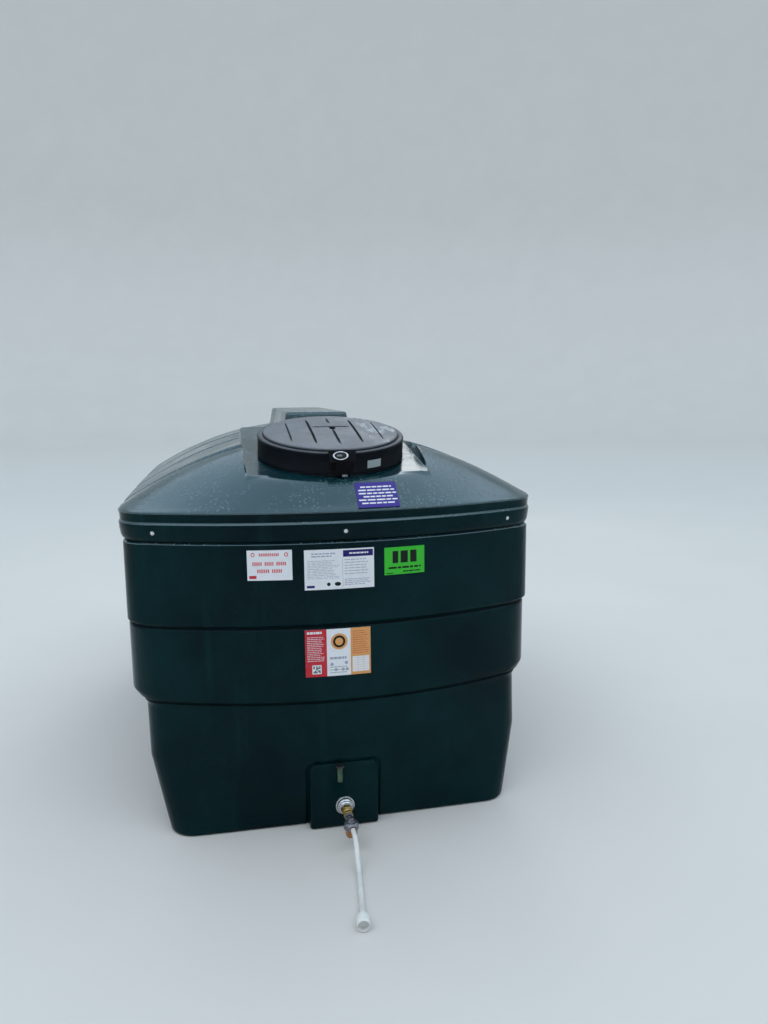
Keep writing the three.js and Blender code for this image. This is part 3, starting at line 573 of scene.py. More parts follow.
def lid_finish():
    """Weathered grey top, scuffed pale towards the right."""
    finish = Finish("lid_weathered", IOR=1.5, Specular_IOR_Level=0.28)
    wear = finish.noise(9, 8, 0.7)
    grain = finish.noise(420, 4, 0.7)
    across = finish.node("SeparateXYZ", {0: finish.place}).outputs["X"]
    scuffs = finish.noise(16, 6, 0.7, finish.stretched((1, 0.35, 1)))
    scuffed = finish.times(finish.spread(scuffs, 0.5, 0.62), finish.spread(across, 0.06, 0.17))
    shade = finish.blend(finish.spread(wear, 0.35, 0.7), (0.108, 0.118, 0.136), (0.172, 0.186, 0.21))
    shade = finish.blend(finish.spread(grain, 0.58, 0.75, 0, 0.55), shade, (0.32, 0.33, 0.35))
    shade = finish.blend(finish.times(scuffed, 0.55), shade, (0.6, 0.64, 0.66))
    finish.paint("Base Color", shade)
    film = finish.spread(finish.noise(7, 7, 0.65), 0.5, 0.58)
    finish.paint("Roughness", finish.plus(finish.times(film, -0.1), finish.spread(wear, 0.2, 0.8, 0.42, 0.62)))
    drops = finish.times(finish.beads(120), film)
    return finish.bump((grain, 0.0008, 0.6), (wear, 0.002, 0.25), (drops, 0.001, 0.45)).material


def two_tone(name, noise, span, dark, light, rough, **constants):
    """A finish whose colour and roughness follow one noise; its bumps are left to the caller."""
    finish = Finish(name, **constants)
    tone = finish.noise(*noise)
    finish.paint("Base Color", finish.blend(finish.spread(tone, *span), dark, light))
    finish.paint("Roughness", finish.spread(tone, *rough))
    return finish, tone


def moulded(name, dark, light, roughness=0.42, **constants):
    rough = (0.2, 0.8, roughness - 0.08, roughness + 0.1)
    finish, wear = two_tone(name, (22, 6), (0.35, 0.7), dark, light, rough, IOR=1.48, **constants)
    return finish.bump((finish.noise(300, 3), 0.0005, 0.4), (wear, 0.0012, 0.2)).material


def metal(name, dark, light, roughness):
    rough = (0.3, 0.75, roughness - 0.07, roughness + 0.15)
    finish, tarnish = two_tone(name, (60, 6, 0.65), (0.35, 0.65), dark, light, rough, Metallic=1.0)
    return finish.bump((finish.noise(260, 2), 0.0003, 0.3), (tarnish, 0.0005, 0.2)).material


def amber():
    colours = (0.42, 0.17, 0.04), (0.62, 0.3, 0.1)
    rough = (0.2, 0.8, 0.12, 0.3)
    finish, tone = two_tone("amber_bowl", (40, 4), (0.3, 0.7), *colours, rough, IOR=1.5, Transmission_Weight=0.35)
    return finish.bump((tone, 0.0006, 0.2)).material


def ink(name, colour, roughness=0.3):
    faded = tuple(0.93 * c + 0.006 for c in colour)
    rough = (0.2, 0.8, roughness - 0.08, roughness + 0.14)
    finish, _ = two_tone(name, (30, 5), (0.4, 0.75), colour, faded, rough, IOR=1.5, Specular_IOR_Level=0.2)
    return finish.bump((finish.noise(18, 2), 0.0012, 0.15)).material


# Two copies of one wet green plastic: the lighter for the roof and upward faces, the darker for the walls and
# upright faces; the difference between them is painted light and shade.
green_painted_lit_tops = wet_green(
    "wet_green_painted_lit_tops", 1.0, (0.0015, 0.023, 0.031), (0.004, 0.034, 0.044), (0.008, 0.048, 0.058),
    IOR=2.0, Specular_Tint=(0.8, 0.95, 1.0, 1),
)
# Dark finish for the wall's steps and under the skirt: painted shade.
painted_groove_shade = moulded(
    "painted_groove_shade", (0.0008, 0.005, 0.0065), (0.0015, 0.008, 0.01), 0.6, Specular_IOR_Level=0.05
)
green_painted_shaded_sides = wet_green(
    "wet_green_painted_shaded_sides", 0.04, (0.0002, 0.0085, 0.0115), (0.001, 0.02, 0.023), (0.003, 0.029, 0.032),
    IOR=1.5, Specular_IOR_Level=0.08,
)
lid_grey = lid_finish()
lid_dark = moulded("lid_band", (0.0025, 0.004, 0.007), (0.006, 0.008, 0.013), 0.5, Specular_IOR_Level=0.13)
lid_edge = moulded("lid_rim", (0.05, 0.055, 0.065), (0.08, 0.086, 0.1), 0.5, Specular_IOR_Level=0.35)
# Dark finish for the lid's slots and the riser round its disc: painted shade.
lid_painted_shade = moulded("lid_slots", (0.01, 0.011, 0.014), (0.02, 0.022, 0.026), 0.6, Specular_IOR_Level=0.2)
black = moulded("black_moulded", (0.012, 0.012, 0.014), (0.024, 0.024, 0.027))
clasp_black = moulded("clasp_black", (0.002, 0.002, 0.003), (0.006, 0.006, 0.008), 0.5, Specular_IOR_Level=0.1)
rubber = moulded("black_rubber", (0.01, 0.01, 0.01), (0.018, 0.018, 0.018), 0.6)
inner_green = moulded("inner_moulded", (0.008, 0.04, 0.034), (0.013, 0.055, 0.046), 0.4)
tube_green = moulded("sight_tube", (0.03, 0.07, 0.04), (0.055, 0.105, 0.06), 0.25)
steel = metal("plated_steel", (0.55, 0.56, 0.58), (0.8, 0.81, 0.83), 0.22)
brass = metal("bare_brass", (0.34, 0.22, 0.06), (0.66, 0.48, 0.18), 0.3)
cast = metal("cast_grey", (0.17, 0.17, 0.19), (0.34, 0.34, 0.37), 0.42)
copper = metal("copper_stub", (0.45, 0.2, 0.11), (0.68, 0.36, 0.22), 0.3)
bowl_amber = amber()
hose_white = moulded("hose_white", (0.74, 0.74, 0.72), (0.84, 0.84, 0.82), 0.35)


# Outer tank


def wall_section(z):
    """Half width, half length, bow and corner of the wall at a height, its knees rounded."""
    heights = z + np.linspace(-KNEE_SPREAD, KNEE_SPREAD, 7)
    return [np.interp(heights, BUND_SECTIONS[:, 0], BUND_SECTIONS[:, k]).mean() for k in range(1, 5)]


def with_pad(x, y, z):
    """Draws the outlet-end wall out to the flat outlet pad."""
    above = z - (PAD_TOP_Z - PAD_CORNER)
    beside = abs(x - OUTLET_X) - (PAD_HALF_WIDTH - PAD_CORNER)
    depth = PAD_CORNER - hypot(max(above, 0), max(beside, 0)) - min(max(above, beside), 0)
    near = PAD_FILLET - min(max(depth, 0), PAD_FILLET)
    foot = PAD_FILLET - min(z, PAD_FILLET)
    fillets = 2 * PAD_FILLET - sqrt(PAD_FILLET**2 - near**2) - sqrt(PAD_FILLET**2 - foot**2)
    share = float(smooth((depth + PAD_STEP_RUN) / PAD_STEP_RUN))
    y += PAD_MOAT_DEPTH * float(smooth((depth + PAD_MOAT_WIDTH) / PAD_MOAT_RUN))
    return y + (PAD_FRONT_Y + fillets - y) * share


def bund_skin():
    near_pad = np.concatenate([np.arange(0, 80, 16), np.arange(82, 152, 2), [156, 168, 190, 225, 280, 340]])
    outer_z = np.concatenate([
        [0, 1.5, 3.5, 6, 9, 13, 20, 40, 80, 120, 160, 190],
        np.arange(206, 258, 3),
        [260, 264, 270, 280, 310, 360, 410, 440, 447, 453],
        np.arange(459, 484, 1.5),
        [488, 496, 500, 504, 512, 540, 600, 660, 700, 720],
        np.arange(725, 762, 2),
        [766, 780, 840, 900, 960, 1000, 1018],
        np.arange(1023, 1044, 1.5),
        [1080, 1119],
    ])
    inner_z = [1119, 1040, 900, 760, 742, 736, 720, 510, 430, 264, BUND_FLOOR_Z]
    rows = []
    reach = PAD_MOAT_WIDTH + 1
    for z in outer_z:
        bottom = BASE_ROUNDING * (1 - min(z, BASE_ROUNDING) / BASE_ROUNDING) ** 2
        ring = outline(wall_section(z), bottom, near_pad)
        near = (ring[:, 1] < 0) & (np.abs(ring[:, 0] - OUTLET_X) < PAD_HALF_WIDTH + reach)
        near &= z < PAD_TOP_Z + reach
        front = [with_pad(x, y, z) if padded else y for (x, y), padded in zip(ring, near)]
        rows.append(np.column_stack([ring[:, 0], front, np.full(len(ring), z)]))
    for z in inner_z:
        ring = outline(wall_section(max(z, 20)), BUND_WALL, near_pad)
        rows.append(np.column_stack([ring, np.full(len(ring), z)]))
    count = len(rows[0])
    points = np.concatenate(rows)
    faces = strip_faces(len(rows), count)
    faces.append(tuple(range(count)))
    faces.append(tuple(range(len(points) - 1, len(points) - count - 1, -1)))
    # The lip rows get the lighter top copy, a painted highlight; the steps and the skirt's underside get the dark
    # finish, painted shade.
    low, high = PAINTED_HIGHLIGHT_LIP
    painted_light_inks = [1 if low <= z < high else 2 if any(a <= z < b for a, b in PAINTED_SHADE_STEPS) else 0 for z in outer_z]
    inks = for_rows(painted_light_inks + [0] * (len(inner_z) - 1), count) + [0, 0]
    Shape().add(points, faces, inks).piece(
        "bund_skin", [green_painted_shaded_sides, green_painted_lit_tops, painted_groove_shade], "green_plastic", "bund_shell", sharp=50
    )


# Roof


def roof_skin():
    top_inset = 7
    ledge_top = 1103
    shoulder_rows = [(1138.4, 4), (1136.8, 1.6), (1134.4, 0.6), (1131, 0.8)]
    strip_rows = [(1127, 1.9), (1121, 3.4), (1112, 4.2), (ledge_top, 4.6)]
    ledge_rows = [(1101.2, 4.2), (1098.8, 2.8), (1096.4, 1.3), (1094.6, 0.4)]
    band_rows = [
        (1092.5, 0), (1075, 2), (1058, 4.1), (1051, 5.5), (1045, 7.8), (1041, 10.2), (1039, 11.6),
        (1038.2, 12.8), (1040, SKIRT_INNER_INSET), (LINING_Z, SKIRT_INNER_INSET),
    ]
    # Upward shoulder and ledge rows take the lighter top copy and the upright strip and band the darker side copy,
    # as painted light and shade.
    bands = ((0, shoulder_rows), (1, strip_rows), (0, ledge_rows), (1, band_rows))
    inks = [ink for ink, band in bands for _ in band]
    ring = outline(RIM_SECTION, top_inset)
    edge_z = roof_height(ring[:, 0], ring[:, 1])
    edge_fall = (edge_z - ledge_top) / (SHOULDER_Z - ledge_top)
    rows = [np.column_stack([ring, edge_z])]
    for z, inset in (row for _, band in bands for row in band):
        heights = np.full(len(ring), z, float)
        if z > ledge_top:
            heights = ledge_top + (z - ledge_top) * np.minimum(edge_fall, 1)
        rows.append(np.column_stack([outline(RIM_SECTION, inset), heights]))
    lining_ring = rows[-1][:, :2]

    xs = band_lines(-740, 740, 15, [
        (centre + side * away, reach, spacing)
        for side in (-1, 1)
        for centre, away, reach, spacing in (
            (HATCH_X, PLATFORM_HALF_WIDTH + 7, 16, 2.5),
            (SPINE_X, SPINE_HALF_WIDTH - 8, 26, 3),
        )
    ])
    groove_bands = [
        (groove + side * (GROOVE_HALF_MOUTH + GROOVE_HALF_FLOOR) / 2, 13, 3.2)
        for groove in GROOVE_YS
        for side in (-1, 1)
    ]
    platform_back_y = HATCH_Y + PLATFORM_BACK * cos(HATCH_TILT)
    ys = band_lines(-1130, 1130, 15, [
        (-1015, 60, 6),
        (platform_back_y + 7, 14, 2.5),
        (SPINE_BACK_Y - 8, 24, 3),
        *groove_bands,
    ])
    turns = np.linspace(0, 2 * pi, 96, endpoint=False)
    hole = np.column_stack([
        HATCH_X + HATCH_HOLE * np.cos(turns),
        HATCH_Y + HATCH_HOLE * np.sin(turns) * cos(HATCH_TILT),
    ])

    def fits(x, y, inset, gap):
        from_hatch = np.hypot(x - HATCH_X, (y - HATCH_Y) / cos(HATCH_TILT))
        return (outside(x, y, RIM_SECTION) < -inset) & (from_hatch > HATCH_HOLE + gap)

    outer, outer_faces = sheet(
        [ring, hole],
        plan_grid(xs, ys, lambda x, y: fits(x, y, top_inset + 5, 5)),
        roof_height,
        lambda x, y: fits(x, y, top_inset, -0.3),
    )

    def lining_height(x, y):
        reach = 45
        around = [roof_height(x + dx, y + dy) for dx in (-reach, 0, reach) for dy in (-reach, 0, reach)]
        return np.maximum(np.min(around, axis=0) - ROOF_WALL, LINING_Z)

    coarse = np.arange(-720, 730, 40), np.arange(-1080, 1090, 40)
    inner, inner_faces = sheet(
        [lining_ring, hole],
        plan_grid(*coarse, lambda x, y: fits(x, y, SKIRT_INNER_INSET + 12, 5)),
        lining_height,
        lambda x, y: fits(x, y, SKIRT_INNER_INSET, -0.3),
    )
    on_ring = outside(inner[:, 0], inner[:, 1], RIM_SECTION) > -SKIRT_INNER_INSET - 0.5
    inner[on_ring, 2] = LINING_Z
    mouth = np.concatenate([
        np.column_stack([hole, roof_height(hole[:, 0], hole[:, 1])]),
        np.column_stack([hole, lining_height(hole[:, 0], hole[:, 1])]),
    ])
    shape = Shape()
    shape.add(outer, outer_faces)
    shape.add(np.concatenate(rows), strip_faces(len(rows), len(ring)), for_rows(inks, len(ring)))
    shape.add(inner, inner_faces)
    shape.add(mouth, strip_faces(2, len(hole)))
    shape.piece("roof_skin", [green_painted_lit_tops, green_painted_shaded_sides], "green_plastic", "roof_cover", sharp=50)


# Hatch


def neck():
    hole, side, top = NECK_INNER, NECK_OUTER, NECK_HEIGHT
    profile = [
        (hole, 0.4), (side + 22, 0.4), (side + 22, 3.5), (side + 20, 4.6), (side + 3, 5), (side, 8), (side, 20),
        (side - 2, 22), (side, 24), (side, 34), (side - 2, 36), (side, 38), (side, top - 2), (side - 2, top),
        (hole + 2, top), (hole, top - 2), (hole, 0.4),
    ]
    lathe("neck_ring", profile, hatch_frame, black, "black_plastic", "hatch_neck", segments=96)
    bolts = Shape()
    head = [(0, 4.8), (6, 4.8), (6, 8.2), (5.2, 9.2), (2.6, 9.2), (2.2, 7.4), (0, 7.2)]
    for i in range(NECK_BOLTS):
        around = rotated(2 * pi * (i + 0.5) / NECK_BOLTS, "Z")
        bolts.add(*turned(head, 12), place=hatch_frame @ around @ moved(side + 12, 0, 0))
    bolts.piece("neck_bolts", [steel], "steel")


def lid_slots(x, y):
    """Depth of the grooves, slots and lifting pocket in the lid's top."""
    x = x - LID_PATTERN_X

    def groove(along, across, reach, half_width, depth, fade=50):
        taper = np.clip((reach - np.abs(along)) / fade, 0.001, 1) ** 0.5
        width = half_width * (0.4 + 0.6 * taper)
        return depth * taper * np.clip(2 * (1 - np.abs(across) / width), 0, 1)

    cuts = [groove(y + 88, x, 97, 5, 7), groove(y - 153, x, 46, 5, 7), groove(x + 2, y - 44, 68, 8.5, 12, 14)]
    for offset in LID_GROOVE_OFFSETS:
        reach = LID_GROOVE_REACH * sqrt(LID_DISC**2 - (offset + LID_PATTERN_X) ** 2)
        outer = abs(offset) > LID_DISC / 2
        cuts.append(groove(y, x - offset, reach, 3.6 if outer else 5, 5 if outer else 8))
    pocket = inside_rectangle(x - 1, y - 22, 10, 19, 3)
    cuts.append(11 * smooth((pocket + 1.5) / 3))
    return np.max(cuts, axis=0)


def lid_relief(x, y):
    """Height of the lid's slightly domed top in the platform's frame, less its slots."""
    return LID_DISC_Z + LID_CROWN * (1 - (np.hypot(x, y) / LID_DISC) ** 2) - lid_slots(x, y)


def lid():
    side, rim = LID_RADIUS, LID_RIM_Z
    seal_in, seal_out, seal_z = NECK_INNER + 4, NECK_OUTER - 4, 53.5
    profile = [
        (0, 76), (seal_in, 76), (seal_in, seal_z), (seal_in + 1, seal_z - 1), (seal_out - 1, seal_z - 1),
        (seal_out, seal_z), (seal_out, 75), (side - 8, 75), (side - 6, 73), (side - 6, 8), (side - 5, 6.3),
        (side - 1, 6.3), (side, 7.5), (side, 13), (side - 1.2, 14.5), (side - 1.2, rim - 12), (side, rim - 10),
        (side, rim - 7), (side - 1.6, rim - 3), (side - 4.5, rim - 0.8), (side - 8, rim), (side - 16, rim - 0.8),
        (side - 18, rim - 1.8), (side - 19.6, rim - 1.8), (side - 21.5, rim + 2.6), (side - 23.5, rim + 5.8),
        (LID_DISC, LID_DISC_Z),
    ]
    edge_from = len(profile) - 9
    painted_shade_riser = range(len(profile) - 5, len(profile) - 3)
    segments = 120
    turns = np.linspace(0, 2 * pi, segments, endpoint=False)
    ring = np.column_stack([LID_DISC * np.cos(turns), LID_DISC * np.sin(turns)])
    slot_xs = [LID_PATTERN_X + offset for offset in (*LID_GROOVE_OFFSETS, 0)]
    xs = band_lines(-244, 244, 10, [(x, 8, 1.1) for x in slot_xs] + [(-1, 4, 1.3), (19, 4, 1.3)])
    ys = band_lines(-244, 244, 8, [(3, 4, 1.3), (44, 12, 1.4)])
    inner = plan_grid(xs, ys, lambda x, y: np.hypot(x, y) < LID_DISC - 3)
    top, faces = sheet([ring], inner, lid_relief, lambda x, y: np.hypot(x, y) < LID_DISC)
    cap, cap_faces = turned(profile, segments)
    # The groove and riser round the disc are painted dark as shade; the rim's top rows get the rim finish.
    row_inks = [2 if row in painted_shade_riser else 3 if row >= edge_from else 1 for row in range(len(profile) - 2)] + [0]
    middle = top[np.array(faces)].mean(axis=1)
    # Slot floors deeper than the threshold are painted dark as shade.
    slot_painted_shade_inks = [2 if depth > SLOT_PAINTED_SHADE_DEPTH else 0 for depth in lid_slots(middle[:, 0], middle[:, 1])]
    shape = Shape().add(cap, cap_faces, for_rows(row_inks, segments), hatch_frame)
    shape.add(top, faces, slot_painted_shade_inks, hatch_frame)
    finishes = [lid_grey, lid_dark, lid_painted_shade, lid_edge]
    shape.piece("lid_shell", finishes, "lid_plastic", "hatch_lid", body="lid", sharp=40)
    seal = [(seal_in + 2, 60), (seal_out - 2, 60), (seal_out - 2, 53), (seal_in + 2, 53), (seal_in + 2, 60)]
    lathe("lid_seal", seal, hatch_frame, rubber, "black_plastic", body="lid", segments=96)


def clasp():
    """Lock on the front of the lid: a wide sloping plate over a narrower tongue, and a plain round lock."""
    edge = -LID_RADIUS
    front = edge - 25.5
    plate = [(edge + 10, 94.5), (edge - 2, 94.5), (front, 61), (front, 55.5), (edge - 1, 55.5)]
    plate += [(edge - 1, LID_RIM_Z + 1.2), (edge + 10, LID_RIM_Z + 1.2)]
    tongue = [(edge - 1, 56), (edge - 19.5, 56), (edge - 19.5, 16), (edge - 15, 5), (edge - 1, 5)]
    strap = [(edge - 1, 56), (edge - 9, 56), (edge - 9, 24), (edge - 1, 20)]
    shape = Shape()
    for profile, x0, x1 in ((plate, -47, 47), (tongue, -26, 26), (strap, -40, -26), (strap, 26, 40)):
        shape.add(*prism(profile, x0, x1), place=hatch_frame)
    shape.piece("clasp_block", [clasp_black], "black_plastic", "lid_clasp", body="lid", bevel=1.5)
    slope = atan2(34, 24)
    seat = hatch_frame @ moved(LOCK_X, edge - 14, 78) @ rotated(slope, "X")
    oval = seat @ Matrix.Diagonal((1, 0.58, 1, 1))
    band = [(20, 0.3), (21, 2.6), (22.6, 3.3), (24.8, 3.3), (26.4, 2.6), (27, 0.3), (20, 0.3)]
    lathe("lock_band", band, oval, steel, "steel", "lock_ring", body="lid", segments=64)
    core = [(0, 0.3), (18.6, 0.3), (18.6, 1.2), (17, 1.8), (0, 1.8)]
    lathe("lock_face", core, oval, rubber, "black_plastic", body="lid")
    key = [(-3.4, 1.9), (-3.4, 3.4), (-2.4, 4), (2.4, 4), (3.4, 3.4), (3.4, 1.9)]
    bar = [(edge - 19.7, 4), (edge - 24, 4.8), (edge - 25, 7), (edge - 25, 11), (edge - 24, 13), (edge - 19.7, 14)]
    bars = (("lock_barrel", key, -13, 4, seat), ("clasp_bar", bar, -2, 17, hatch_frame))
    for name, profile, x0, x1, place in bars:
        Shape().add(*prism(profile, x0, x1), place=place).piece(name, [cast], "steel", body="lid")


def bare_nodes():
    """The frame's own solids that stay in view, with a finish and softened edges."""
    hinge = [(f"hinge_{part}", black, 1.2) for part in ("base_left", "base_right", "arm_left", "arm_right")]
    for name, finish, bevel in (*hinge, ("hinge_pin", steel, 0.5), ("inner_tank", inner_green, 0)):
        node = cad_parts[name]
        node.data.materials.clear()
        node.data.materials.append(finish)
        if bevel:
            round_edges(node, bevel)
        for polygon in node.data.polygons:
            polygon.use_smooth = name == "inner_tank"


# Screws through the skirt


def screws():
    head = [
        (0, 0.6), (7, 0.6), (7, 1.5), (6, 2), (4.8, 2.1), (4.5, 3.2), (3.3, 4.3), (1.5, 4.6), (1.2, 3.6), (0, 3.6),
    ]
    width, length, bow, _ = RIM_SECTION
    end_radius, side_radius = arc_radius(width, bow), arc_radius(length, SIDE_BOW)
    lean = atan2(4.5, 37)
    shape = Shape()

    def place(x, y, heading):
        seat = moved(x, y, SCREW_Z) @ rotated(heading, "Z")
        shape.add(*turned(head, 24), place=seat @ rotated(pi / 2 + lean, "X"))

    for x in END_SCREW_XS:
        turn = asin(x / end_radius)
        y = -length + end_radius * (1 - cos(turn)) + 3
        place(x, y, turn)
        place(x, -y, pi - turn)
    for y in SIDE_SCREW_YS:
        turn = asin(y / side_radius)
        x = width - side_radius * (1 - cos(turn)) - 3
        place(x, y, pi / 2 + turn)
        place(-x, y, -pi / 2 - turn)
    names = [f"screw_{end}_{i + 1}" for end in ("front", "back") for i in range(3)]
    names += [f"screw_{side}_{i + 1}" for side in ("left", "right") for i in range(4)]
    shape.piece("skirt_screws", [steel], "steel", *names)


# Labels


def end_y(section, x):
    """How far forward a section's outlet end stands."""
    width, length, bow, _ = section
    radius = arc_radius(width, bow)
    return -length + radius - sqrt(radius**2 - x**2)


def on_wall(middle_x, middle_z, width, height):
    def at(u, v, lift):
        x = middle_x + (u - 0.5) * width
        z = middle_z + (v - 0.5) * height
        seat_z = min(z, STEP_EDGE_Z) if middle_z < STEP_EDGE_Z else z
        return x, end_y(wall_section(seat_z), x) - lift, z

    return at


def on_hip(u, v, lift):
    """Roof label on the front hip, right of the middle."""
    left, width, foot, rise = HIP_LABEL
    x = left + u * width
    share = foot + v * rise
    return x, end_y(dome_section(share), x) - lift, SHOULDER_Z + (CREST_Z - SHOULDER_Z) * share + lift


def on_band(u, v, lift):
    """Sticker on the lid's side band."""
    start, span, foot, height = BAND_LABEL
    turn = radians(start + u * span)
    reach = LID_RADIUS + lift
    return tuple(hatch_frame @ Vector((reach * cos(turn), reach * sin(turn), foot + v * height)))


class Label:
    """A thin film on a surface, with printed shapes just above it; u and v run from 0 to 1 across and up."""

    def __init__(self, at, paper):
        self.at = at
        self.shape = Shape()
        self.papers = [paper]
        self.film()

    def net(self, u0, v0, u1, v1, columns, rows, lift):
        """Points over part of the label, row by row."""
        return [
            self.at(u0 + (u1 - u0) * c / columns, v0 + (v1 - v0) * r / rows, lift)
            for r in range(rows + 1)
            for c in range(columns + 1)
        ]

    def film(self):
        """The paper: an upper and an under side, joined round the rim."""
        columns, rows = LABEL_GRID
        wide = columns + 1
        count = wide * (rows + 1)
        points = self.net(0, 0, 1, 1, columns, rows, FILM_UNDER) + self.net(0, 0, 1, 1, columns, rows, FILM_TOP)
        under = strip_faces(rows + 1, wide, closed=False)
        faces = under + [tuple(count + i for i in face) for face in under]
        rim = [*range(columns), *range(columns, count - 1, wide)]
        rim += [*range(count - 1, count - wide, -1), *range(count - wide, 0, -wide)]
        faces += [(a, b, count + b, count + a) for a, b in zip(rim, rim[1:] + rim[:1])]
        self.shape.add(points, faces)

    def number(self, finish):
        if finish not in self.papers:
            self.papers.append(finish)
        return self.papers.index(finish)

    def block(self, finish, u0, v0, u1, v1, layer=1):
        columns, rows = (max(1, round(n * span)) for n, span in zip(LABEL_GRID, (u1 - u0, v1 - v0)))
        points = self.net(u0, v0, u1, v1, columns, rows, FILM_TOP + PRINT_LIFT * layer)
        self.shape.add(points, strip_faces(rows + 1, columns + 1, closed=False), self.number(finish))

    def polygon(self, finish, u, v, radius_u, radius_v, sides, layer=1):
        turns = [2 * pi * i / sides for i in range(sides)]
        lift = FILM_TOP + PRINT_LIFT * layer
        points = [self.at(u + radius_u * cos(a), v + radius_v * sin(a), lift) for a in turns]
        self.shape.add(points, [tuple(range(sides))], self.number(finish))

    def lines(self, finish, u0, u1, v0, v1, count, seed, weight, layer=1, ragged=0.25):
        """Rows of short plain dashes where a label has small print; ragged rows end short by up to that share."""
        chance = random.Random(seed)
        pitch = (v1 - v0) / count
        for row in range(count):
            v = v1 - (row + 0.5) * pitch
            u = u0
            stop = u1 - (u1 - u0) * chance.uniform(0, ragged)
            while u < stop:
                dash = (u1 - u0) * chance.uniform(0.08, 0.24)
                self.block(finish, u, v - weight * pitch / 2, min(u + dash, stop), v + weight * pitch / 2, layer)
                u += dash + (u1 - u0) * 0.03

    def strokes(self, finish, u0, v0, u1, v1, count):
        """Plain upright bars side by side where a label has large print."""
        pitch = (u1 - u0) / count
        for i in range(count):
            self.block(finish, u0 + i * pitch, v0, u0 + (i + STROKE_SHARE) * pitch, v1)

    def finish(self, name, body="tank"):
        self.shape.piece(f"film_{name}", self.papers, "label_film", f"label_{name}", body=body, sharp=60)


white = ink("paper_white", (0.78, 0.79, 0.83))
grey = ink("print_grey", (0.36, 0.37, 0.47))
red = ink("print_red", (0.55, 0.03, 0.045))
rose = ink("print_rose", (0.66, 0.075, 0.085))
navy = ink("print_navy", (0.016, 0.011, 0.14))
green = ink("paper_green", (0.045, 0.49, 0.035))
jet = ink("print_black", (0.006, 0.01, 0.008))
orange = ink("print_orange", (0.72, 0.34, 0.12))
purple = ink("paper_purple", (0.055, 0.036, 0.27))
pale = ink("paper_pale", (0.36, 0.42, 0.41), 0.4)


def labels():
    label = Label(on_wall(-251, 959, 147, 102), white)
    label.strokes(rose, 0.27, 0.8, 0.72, 0.9, 11)
    for u in (0.13, 0.87):
        label.polygon(rose, u, 0.85, 0.045, 0.07, 12)
        label.polygon(white, u, 0.85, 0.025, 0.04, 12, layer=2)
    for u0, u1 in ((0.12, 0.34), (0.39, 0.6), (0.65, 0.88)):
        label.strokes(rose, u0, 0.49, u1, 0.61, 5)
    for u0, u1 in ((0.22, 0.5), (0.55, 0.78)):
        label.strokes(rose, u0, 0.25, u1, 0.37, 6)
    label.block(red, 0.04, 0.06, 0.2, 0.16)
    label.finish("alarm")

    label = Label(on_wall(-20, 938.4, 236, 136.5), white)
    label.block(navy, 0.55, 0.8, 0.985, 0.965)
    label.lines(white, 0.64, 0.92, 0.85, 0.92, 1, 3, 0.55, 2, ragged=0)
    for small_print in (
        (0.1, 0.46, 0.8, 0.93, 2, 4, 0.5), (0.04, 0.5, 0.26, 0.74, 12, 5, 0.28),
        (0.57, 0.96, 0.34, 0.76, 6, 6, 0.25), (0.57, 0.96, 0.08, 0.26, 4, 7, 0.4),
    ):
        label.lines(grey, *small_print)
    label.block(grey, 0.541, 0.04, 0.546, 0.78)
    label.block(navy, 0.03, 0.05, 0.14, 0.11)
    label.polygon(jet, 0.34, 0.13, 0.026, 0.046, 20)
    label.polygon(jet, 0.47, 0.13, 0.045, 0.05, 24)
    label.finish("data")

    label = Label(on_wall(207, 954, 145, 95), green)
    for u0, u1 in ((0.2, 0.34), (0.4, 0.58), (0.64, 0.8)):
        label.block(jet, u0, 0.42, u1, 0.86)
    label.lines(jet, 0.1, 0.96, 0.18, 0.32, 1, 8, 0.5)
    label.lines(jet, 0.46, 0.96, 0.05, 0.15, 1, 9, 0.5)
    label.block(jet, 0.05, 0.04, 0.22, 0.07)
    label.finish("green")

    label = Label(on_wall(-29, 648, 224.5, 165.4), white)
    label.block(red, 0, 0, 0.325, 1)
    label.block(orange, 0.69, 0, 1, 1)
    label.lines(white, 0.03, 0.29, 0.9, 0.97, 1, 10, 0.7, 2)
    label.lines(white, 0.03, 0.3, 0.32, 0.86, 14, 11, 0.3, 2)
    label.block(white, 0.1, 0.06, 0.24, 0.25, 2)
    chance = random.Random(12)
    for i in range(5):
        for j in range(5):
            if chance.random() < 0.6:
                u, v = 0.115 + 0.022 * i, 0.082 + 0.03 * j
                label.block(jet, u, v, u + 0.02, v + 0.026, 3)
    for layer, (finish, *radii) in enumerate(((orange, 0.128, 0.172), (jet, 0.094, 0.128), (orange, 0.06, 0.082))):
        label.polygon(finish, 0.515, 0.73, *radii, 32, layer + 1)
    label.lines(grey, 0.37, 0.64, 0.34, 0.42, 1, 13, 0.6)
    for u, v in ((0.4, 0.25), (0.62, 0.27), (0.46, 0.13), (0.57, 0.13), (0.63, 0.13)):
        label.polygon(grey, u, v, 0.025, 0.035, 12)
    label.lines(pale, 0.37, 0.64, 0.04, 0.22, 3, 14, 0.3)
    label.lines(red, 0.72, 0.98, 0.44, 0.95, 11, 15, 0.22, 2)
    label.block(white, 0.715, 0.06, 0.975, 0.39, 2)
    for i in range(6):
        label.block(orange, 0.715, 0.1 + 0.05 * i, 0.975, 0.104 + 0.05 * i, 3)
    for u in (0.8, 0.89):
        label.block(orange, u, 0.06, u + 0.003, 0.39, 3)
    label.finish("notice")

    label = Label(on_hip, purple)
    spans = ((0.12, 0.88), (0.06, 0.94), (0.06, 0.97), (0.16, 0.87), (0.04, 0.97), (0.1, 0.91))
    for row, (u0, u1) in enumerate(spans):
        label.lines(white, u0, u1, 0.75 - 0.13 * row, 0.88 - 0.13 * row, 1, 16 + row, 0.42, ragged=0)
    label.finish("roof")

    label = Label(on_band, pale)
    label.lines(grey, 0.08, 0.92, 0.12, 0.88, 4, 17, 0.3)
    label.finish("lid", "lid")


# Outlet


